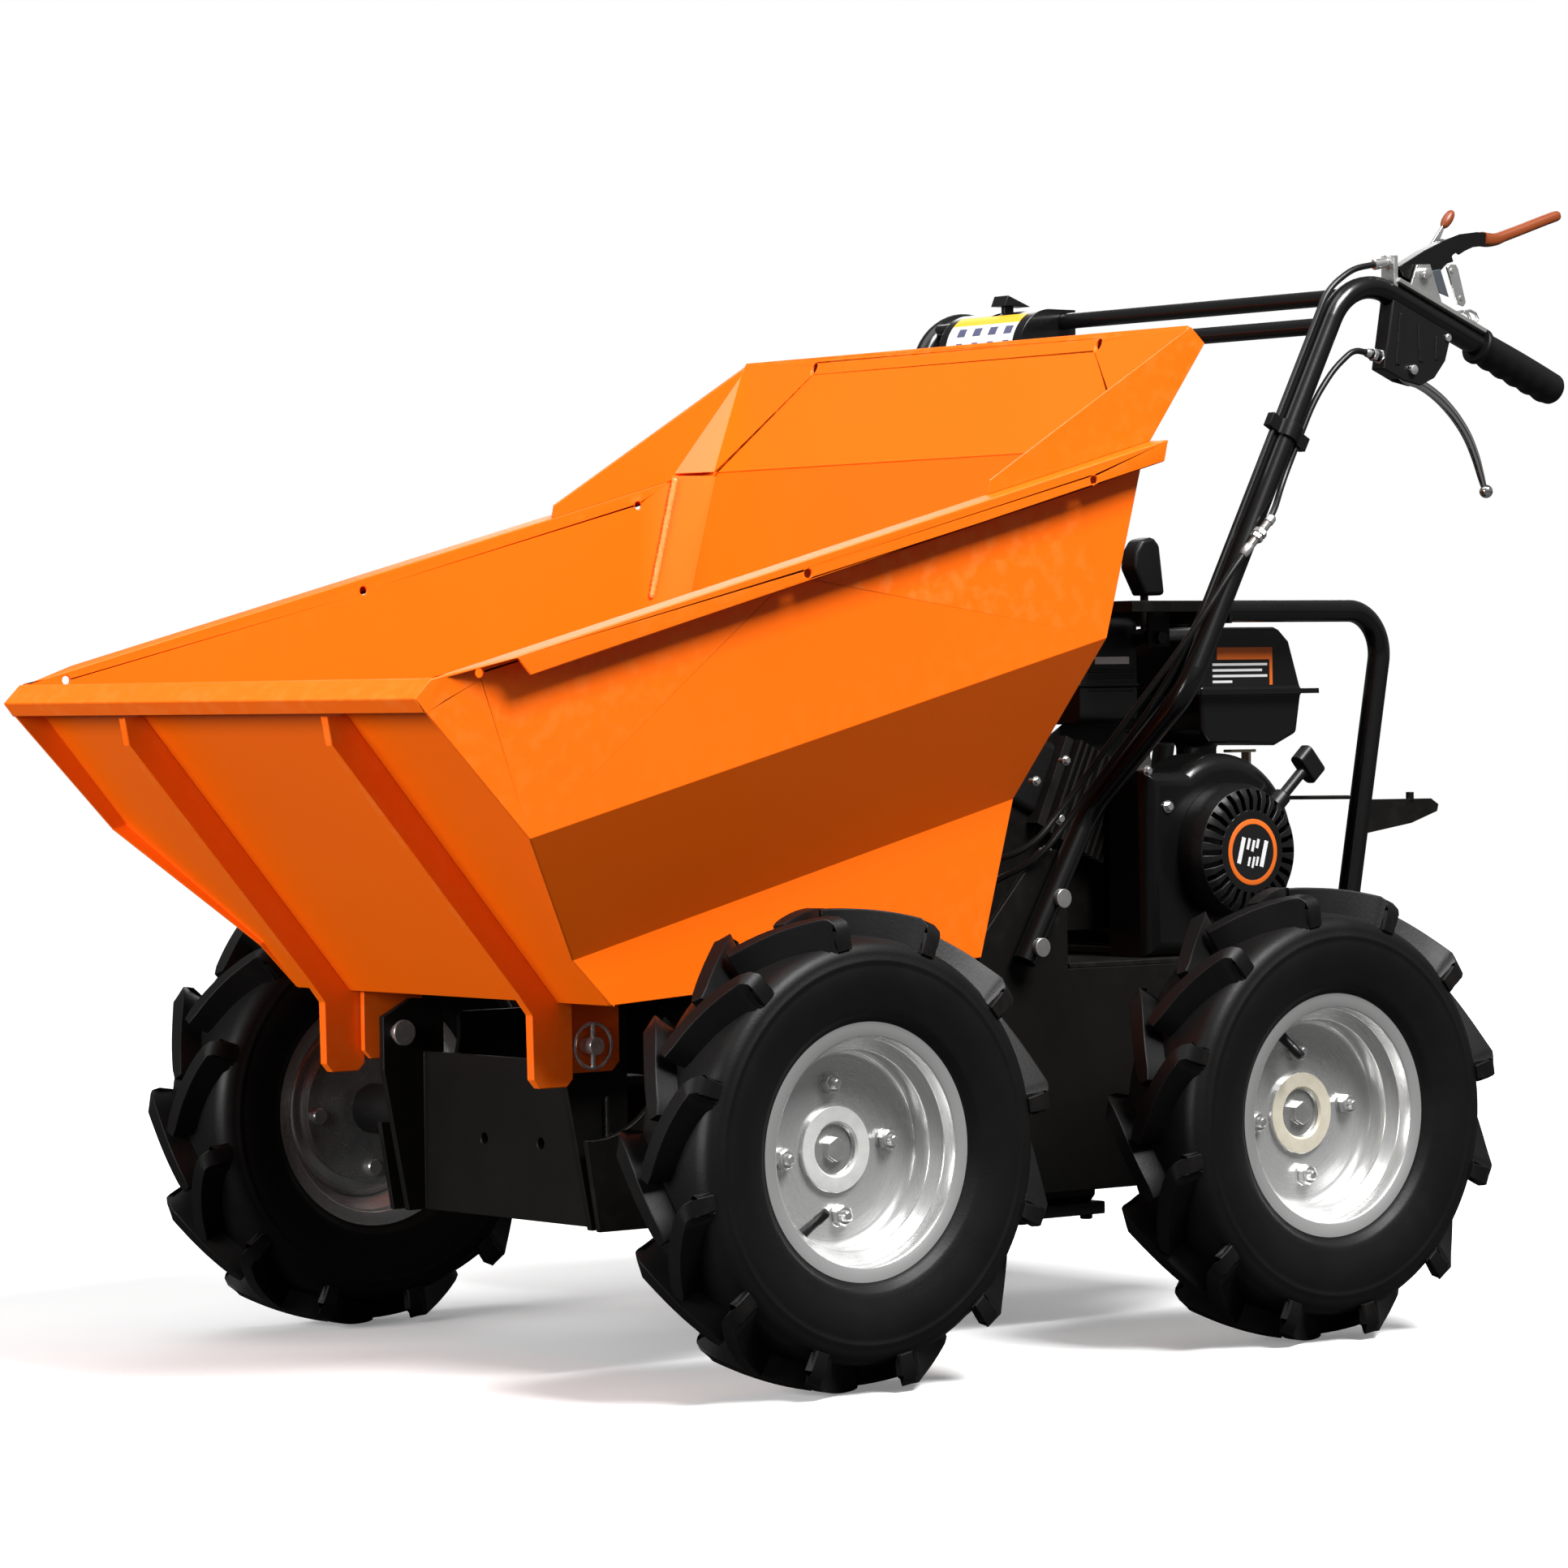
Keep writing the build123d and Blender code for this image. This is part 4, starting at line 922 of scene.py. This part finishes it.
def makeAdjusters():
    # the screws that hold the levers, and the adjusters in both cables
    mesh = bmesh.new()
    roundSolid(mesh, at(314, 509, 1001), sideways, [(0, 5.6), (1.2, 5.6), (2.2, 5.0), (2.6, 3.8)], 32)
    hexSolid(mesh, at(309.6, 509, 1001), sideways, 9.0, 3.0)
    roundSolid(mesh, at(312, 492, 908), sideways, [(0, 4.8), (1.0, 4.6), (1.5, 3.6)], 28)
    roundSolid(mesh, at(309, 541, 940), sideways, [(0, 3.8), (1.4, 3.8), (2.0, 3.0)], 24)
    place, run = at(*adjusterLook["drive"]["place"]), Vector(adjusterLook["drive"]["run"])
    hexSolid(mesh, place, run, 12.6, 6.0)
    barrel = [(6, 4.2)] + threadProfile(6.5, 9.0, 4.4, 1.5) + [(16, 5.2), (22, 5.2), (23, 4.2)]
    roundSolid(mesh, place, run, barrel, 28)
    place, run = at(*adjusterLook["brake"]["place"]), Vector(adjusterLook["brake"]["run"])
    hexSolid(mesh, place, run, 13.0, 5.4)
    roundSolid(mesh, place, run, [(5, 4.0)] + threadProfile(5.5, 5.0, 4.3, 1.5) + [(11, 4.2)], 28)
    hexSolid(mesh, place + run * 10.4 * mm, run, 11.0, 4.6, turn=0.4)
    roundSolid(mesh, place + run * 15 * mm, run, [(0, 4.4), (6, 4.4), (8.5, 3.4)], 28)
    place = at(*adjusterLook["stem"]["place"])
    run = (at(*adjusterLook["stem"]["towards"]) - place).normalized()
    barrel = [(0, 3.2), (2, 4.6), (8, 4.8)] + threadProfile(9, 30, 4.3, 1.5)
    barrel += [(41, 4.8), (50, 4.6), (53, 3.2)]
    roundSolid(mesh, place, run, barrel, 28)
    hexSolid(mesh, place + run * 20 * mm, run, 11.6, 5.4)
    hexSolid(mesh, place + run * 27 * mm, run, 11.6, 4.2, turn=0.3)
    newPiece("cable_adjusters", mesh, "chassis", "zinc", smoothAngle=32)


# outlines are (y, z)
trimLook = {"strip": [(521, 1004), (533, 1006), (544, 979.5), (531, 983)],
            "stop": [(541, 1008), (545, 1011), (553, 1011), (556, 1007), (566, 975), (563, 971), (555, 973)],
            "rivets": [(547, 1005), (559, 979)],
            "clip": [(566, 966), (576, 967.5), (583, 965), (586, 960), (583, 956.5), (577, 957.5)],
            "ribs": [[(476, 962), (482, 961), (476, 912), (470, 913)],
                     [(500, 951), (505, 949), (507, 916), (502, 916)],
                     [(524, 941), (529, 939), (528, 919), (523, 918)]]}


def makeLeverTrim():
    # the sprung strip and the stop over the base plate, and the ribs of the brake housing
    strip = bmesh.new()
    plateMesh(strip, trimLook["strip"], 306.6, 308.4)
    addBevel(newPiece("sprung_strip", strip, "chassis", "greySteel", smoothAngle=30), 0.6)
    stop = bmesh.new()
    plateMesh(stop, trimLook["stop"], 306.8, 309.2)
    for y, z in trimLook["rivets"]:
        roundSolid(stop, at(309.2, y, z), sideways, [(0, 2.6), (0.8, 2.6), (1.2, 1.8)], 20)
    for side in (-5, 5):
        tubeMesh([at(300 + side, y, z) for y, z in trimLook["clip"]], 1.5, stop, sides=12)
    addBevel(newPiece("lever_stop", stop, "chassis", "zinc", smoothAngle=30), 0.4)
    ribs = bmesh.new()
    for outline in trimLook["ribs"]:
        plateMesh(ribs, outline, 308.6, 310.2)
    piece = newPiece("brake_housing_ribs", ribs, "chassis", "satinPlastic", smoothAngle=30)
    addBevel(piece, 0.5)


makeAdjusters()
makeLeverTrim()
print("levers done")


# bars are (across, up, width, height) from the middle of the ring
labelLook = {"middle": (185.0, 392.0, 446.5), "outer": 32.0, "inner": 27.2, "lean": -16,
             "bars": [(-15, 2, 5.0, 26), (14.5, -2, 5.0, 26), (-5.5, 8, 3.2, 11), (0.5, 6, 3.2, 11),
                      (6.5, 8, 3.2, 9), (-5.0, -9, 2.6, 9), (0.5, -10, 2.6, 11), (5.6, -9, 2.6, 9)]}


def makeRecoilLabel():
    # a round label: coloured rim, dark middle and plain bars
    outer, inner = labelLook["outer"], labelLook["inner"]
    middle = at(*labelLook["middle"])
    rim = lathe([(0.0, outer), (0.5, outer), (0.7, outer - 0.4), (0.7, inner), (0.0, inner)], middle, 96)
    newPiece("recoil_label_rim", rim, "chassis", "labelOrange", smoothAngle=30)
    disc = bmesh.new()
    roundSolid(disc, middle, sideways, [(0, inner), (0.45, inner)], 96)
    newPiece("recoil_label_disc", disc, "chassis", "labelDark", smoothAngle=30)
    bars = bmesh.new()
    spin = Matrix.Rotation(radians(labelLook["lean"]), 3, "X")
    for across, up, wide, tall in labelLook["bars"]:
        corner = middle + Vector((0.4, across, up)) * mm
        low = corner - Vector((0, wide / 2, tall / 2)) * mm
        high = corner + Vector((0.25, wide / 2, tall / 2)) * mm
        boxMesh(bars, low, high, spin, corner)
    newPiece("recoil_label_bars", bars, "chassis", "labelWhite", smoothAngle=30)


# corners are (y, z) on the side of the tank and of the filter box
tankLabelLook = {"face": 118.0, "base": ((402, 607), (485, 646)), "header": ((410, 633), (484, 645)),
                 "edge": ((480, 608), (484, 633)), "lineStart": 404, "lineEnds": (477, 470, 477, 430),
                 "lineTop": 629.4, "lineHeight": 2.4, "lineStep": 5.6}
filterLook = {"face": 90.0, "label": ((276, 630), (320, 637)), "grooves": 4, "grooveStart": 268,
              "grooveEnd": 326, "grooveTop": 624.6, "grooveHeight": 2.6, "grooveStep": 6.0}


def makeStickers():
    # the plain label on the fuel tank, and the label and mouldings on the filter box
    look = tankLabelLook
    sticker("tank_label_base", look["face"], *look["base"], "labelDark", 0.2)
    sticker("tank_label_header", look["face"] + 0.1, *look["header"], "labelOrange", 0.25)
    sticker("tank_label_edge", look["face"] + 0.1, *look["edge"], "labelOrange", 0.25)
    for row, end in enumerate(look["lineEnds"]):
        top = look["lineTop"] - row * look["lineStep"]
        low = (look["lineStart"], top - look["lineHeight"])
        sticker("tank_label_line_" + str(row), look["face"] + 0.1, low, (end, top), "labelWhite", 0.3)
    look = filterLook
    sticker("filter_label", look["face"], *look["label"], "labelWhite", 0.3)
    for row in range(look["grooves"]):
        top = look["grooveTop"] - row * look["grooveStep"]
        low, high = (look["grooveStart"], top - look["grooveHeight"]), (look["grooveEnd"], top)
        bar = sticker("filter_groove_" + str(row), look["face"] - 0.4, low, high, "satinPlastic", 1.6)
        addBevel(bar, 0.6)


makeRecoilLabel()
makeStickers()


# outline (y, z) and x span of the black sheet put in as painted shade behind the cylinder
gapShadeLook = {"outline": [(160, 372), (356, 372), (356, 560), (271, 578), (208, 540), (170, 470)],
             "from": 57.0, "to": 59.0}


def makeGapShadeSheet():
    # a black sheet behind the cylinder that closes the gap behind the bucket: painted shade, a dark stand-in
    # for what lies in shadow there
    mesh = bmesh.new()
    plateMesh(mesh, gapShadeLook["outline"], gapShadeLook["from"], gapShadeLook["to"])
    addBevel(newPiece("gap_shade_sheet", mesh, "chassis", "chassisBlack", smoothAngle=30), 0.4)


makeGapShadeSheet()


# angles are from straight up, towards the front; marks are (start, width, low, high)
consoleLook = {"left": -215.0, "right": -112.0, "radius": 41.25, "header": (26.5, 47), "field": (47, 104),
               "middle": (390, 947), "columns": 4, "step": 24, "marks": [(14, 12, 53, 66), (16, 9, 76, 84)]}


def consolePatch(mesh, x0, x1, a0, a1, lift=0.0):
    # a strip of the curved face between two angles
    steps = max(2, int((a1 - a0) / 5))
    radius = consoleLook["radius"] + lift
    y, z = consoleLook["middle"]
    rows = []
    for i in range(steps + 1):
        a = radians(a0 + (a1 - a0) * i / steps)
        rows.append([mesh.verts.new(at(x, y - radius * sin(a), z + radius * cos(a))) for x in (x0, x1)])
    for low, high in zip(rows, rows[1:]):
        mesh.faces.new((low[0], low[1], high[1], high[0]))
    return mesh


def makeConsoleLabel():
    # a label over the curved console: coloured header, white field, plain marks
    left, right = consoleLook["left"], consoleLook["right"]
    field = consolePatch(bmesh.new(), left, right, *consoleLook["field"])
    newPiece("console_label_field", field, "chassis", "labelWhite", smoothAngle=40)
    header = consolePatch(bmesh.new(), left, right, *consoleLook["header"])
    newPiece("console_label_header", header, "chassis", "labelYellow", smoothAngle=40)
    marks = bmesh.new()
    for k in range(consoleLook["columns"]):
        for start, width, low, high in consoleLook["marks"]:
            x = left + k * consoleLook["step"] + start
            consolePatch(marks, x, x + width, low, high, 0.15)
    newPiece("console_label_marks", marks, "chassis", "labelInk", smoothAngle=40)


makeConsoleLabel()


# bolts are (x, y, z, size across the flats); the bracket is two blocks of low and high corners
engineLook = {"bolts": [(150, 288, 527, 6.5), (150, 314, 492, 7.5), (100, 190, 519, 6), (100, 228, 538, 6),
                        (100, 219, 482, 7), (100, 202, 452, 7)],
              "bracket": [((50, 480, 541), (62, 514, 544)), ((50, 504, 524), (62, 507, 542))]}


def makeEngineTrim():
    # small bolts on the blower housing and the cylinder, and the bracket under the tank
    mesh = bmesh.new()
    for x, y, z, size in engineLook["bolts"]:
        shank, flange = size * 0.42, size * 0.8
        roundSolid(mesh, at(x - 8, y, z), sideways, [(0, shank), (8, shank), (8, flange), (9, flange)], 28)
        hexSolid(mesh, at(x + 1, y, z), sideways, size, size * 0.5, turn=y * 0.1)
    newPiece("engine_bolts", mesh, "chassis", "zinc", smoothAngle=32)
    plate = bmesh.new()
    for low, high in engineLook["bracket"]:
        boxMesh(plate, at(*low), at(*high))
    addBevel(newPiece("tank_bracket", plate, "chassis", "yellowZinc", smoothAngle=30), 0.8)


makeEngineTrim()


# each weld: x either side, its ends as (y, z), its radius and a seed for its bumps
weldLook = {"bucket": {"x": 325.6, "ends": [(86, 823), (54, 703)], "radius": 2.7, "seed": 3,
                       "finish": "weldOrange", "slot": "orange_paint"},
            "chassis": {"x": 150.0, "ends": [(-362, 140), (-362, 250)], "radius": 2.0, "seed": 9,
                        "finish": "chassisBlack", "slot": "black_paint"}}


def makeWelds():
    # beads in the two rear corners of the load space and along the chassis cheeks; the orange beads are
    # lighter than the paint with bright speckles, a painted highlight
    for body, look in weldLook.items():
        mesh = bmesh.new()
        for side in (1, -1):
            ends = [at(side * look["x"], y, z) for y, z in look["ends"]]
            weldBead(mesh, ends, look["radius"], seed=look["seed"] + side)
        newPiece(body + "_welds", mesh, body, look["finish"], smoothAngle=60)


makeWelds()
print("trim done")


studioLook = {"floorGlow": 0.20, "farGlow": 0.82, "floorBounce": 0.06, "skyLight": 0.19, "near": 1.1,
              "far": 3.2}
floorLook = {"colour": (0.93, 0.93, 0.93), "shade": (0.90, 0.90, 0.90), "roughness": 0.8, "grainScale": 40.0,
             "bump": 0.0, "specular": 0.1}


def makeFloorMaterial():
    # pale to the eye and white far out, darker to bounced light so undersides keep their depth
    material = surfaceMaterial("studioFloor", floorLook)
    tree = material.node_tree
    out = tree.nodes["Material Output"]
    shader = tree.nodes["Principled BSDF"]
    shader.inputs["Emission Color"].default_value = (1.0, 1.0, 1.0, 1.0)
    where = addNode(tree, "ShaderNodeTexCoord", (-900, -800))
    span = addNode(tree, "ShaderNodeVectorMath", (-700, -800), operation="LENGTH")
    glow = addNode(tree, "ShaderNodeMapRange", (-500, -800), interpolation_type="SMOOTHSTEP")
    glow.inputs["From Min"].default_value = studioLook["near"]
    glow.inputs["From Max"].default_value = studioLook["far"]
    glow.inputs["To Min"].default_value = studioLook["floorGlow"]
    glow.inputs["To Max"].default_value = studioLook["farGlow"]
    tree.links.new(where.outputs["Object"], span.inputs[0])
    tree.links.new(span.outputs["Value"], glow.inputs["Value"])
    tree.links.new(glow.outputs[0], shader.inputs["Emission Strength"])
    dim = addNode(tree, "ShaderNodeBsdfDiffuse", (0, -500))
    dim.inputs["Color"].default_value = (*[studioLook["floorBounce"]] * 3, 1.0)
    ray = addNode(tree, "ShaderNodeLightPath", (0, -200))
    mix = addNode(tree, "ShaderNodeMixShader", (300, -200))
    tree.links.new(ray.outputs["Is Camera Ray"], mix.inputs[0])
    tree.links.new(dim.outputs[0], mix.inputs[1])
    tree.links.new(shader.outputs[0], mix.inputs[2])
    tree.links.new(mix.outputs[0], out.inputs["Surface"])
    return material


def makeStudio():
    mesh = bmesh.new()
    corners = [mesh.verts.new((x, y, 0)) for x, y in ((-40, -40), (40, -40), (40, 40), (-40, 40))]
    mesh.faces.new(corners)
    data = bpy.data.meshes.new("studioFloor")
    mesh.to_mesh(data)
    mesh.free()
    data.materials.append(makeFloorMaterial())
    floor = bpy.data.objects.new("studioFloor", data)
    bpy.context.scene.collection.objects.link(floor)


# aim is the height over the middle of the floor that a light points at
lightLooks = {
    "keyLight": {"place": (3.7, 0.5, 4.9), "aim": 0.5, "size": (2.6, 2.2), "power": 620},
    "frontLight": {"place": (0.3, -5.6, 1.6), "aim": 0.5, "size": (3.4, 1.8), "power": 290},
    "topLight": {"place": (-0.4, -1.2, 4.6), "aim": 0.6, "size": (3.4, 3.0), "power": 90},
    "rimLight": {"place": (-3.8, 3.2, 2.6), "aim": 0.6, "size": (2.4, 2.4), "power": 50},
}


def areaLight(name, look):
    light = bpy.data.lights.new(name, "AREA")
    light.shape = "RECTANGLE"
    light.size, light.size_y = look["size"]
    light.energy = look["power"]
    lamp = bpy.data.objects.new(name, light)
    bpy.context.scene.collection.objects.link(lamp)
    lamp.location = look["place"]
    aim = Vector((0, 0, look["aim"])) - Vector(look["place"])
    lamp.rotation_euler = aim.to_track_quat("-Z", "Y").to_euler()


cameraLook = {"place": (4185.79, -3352.18, 611.23), "azimuth": 51.6284, "elevation": 0.97536,
              "roll": -0.760, "lens": 129.77}


def makeCamera():
    az, el, roll = (radians(cameraLook[k]) for k in ("azimuth", "elevation", "roll"))
    ahead = Vector((-sin(az) * cos(el), cos(az) * cos(el), -sin(el)))
    right = Vector((cos(az), sin(az), 0))
    up = right.cross(ahead)
    right, up = right * cos(roll) + up * sin(roll), up * cos(roll) - right * sin(roll)
    data = bpy.data.cameras.new("studioCamera")
    data.lens = cameraLook["lens"]
    data.sensor_width = 36.0
    data.clip_end = 60.0
    camera = bpy.data.objects.new("studioCamera", data)
    bpy.context.scene.collection.objects.link(camera)
    turn = Matrix((right, up, -ahead)).transposed().to_4x4()
    camera.matrix_world = Matrix.Translation(at(*cameraLook["place"])) @ turn
    bpy.context.scene.camera = camera


makeStudio()
makeCamera()
for name, look in lightLooks.items():
    areaLight(name, look)
world = bpy.data.worlds.new("studioWorld")
world.use_nodes = True
sky = world.node_tree.nodes["Background"]
sky.inputs["Color"].default_value = (1.0, 1.0, 1.0, 1.0)
skyRay = addNode(world.node_tree, "ShaderNodeLightPath", (-600, 0))
skyMix = addNode(world.node_tree, "ShaderNodeMapRange", (-300, 0))
skyMix.inputs["To Min"].default_value = studioLook["skyLight"]
skyMix.inputs["To Max"].default_value = 1.0
world.node_tree.links.new(skyRay.outputs["Is Camera Ray"], skyMix.inputs["Value"])
world.node_tree.links.new(skyMix.outputs[0], sky.inputs["Strength"])
bpy.context.scene.world = world
bpy.context.scene.view_settings.view_transform = "Standard"
print("studio done")
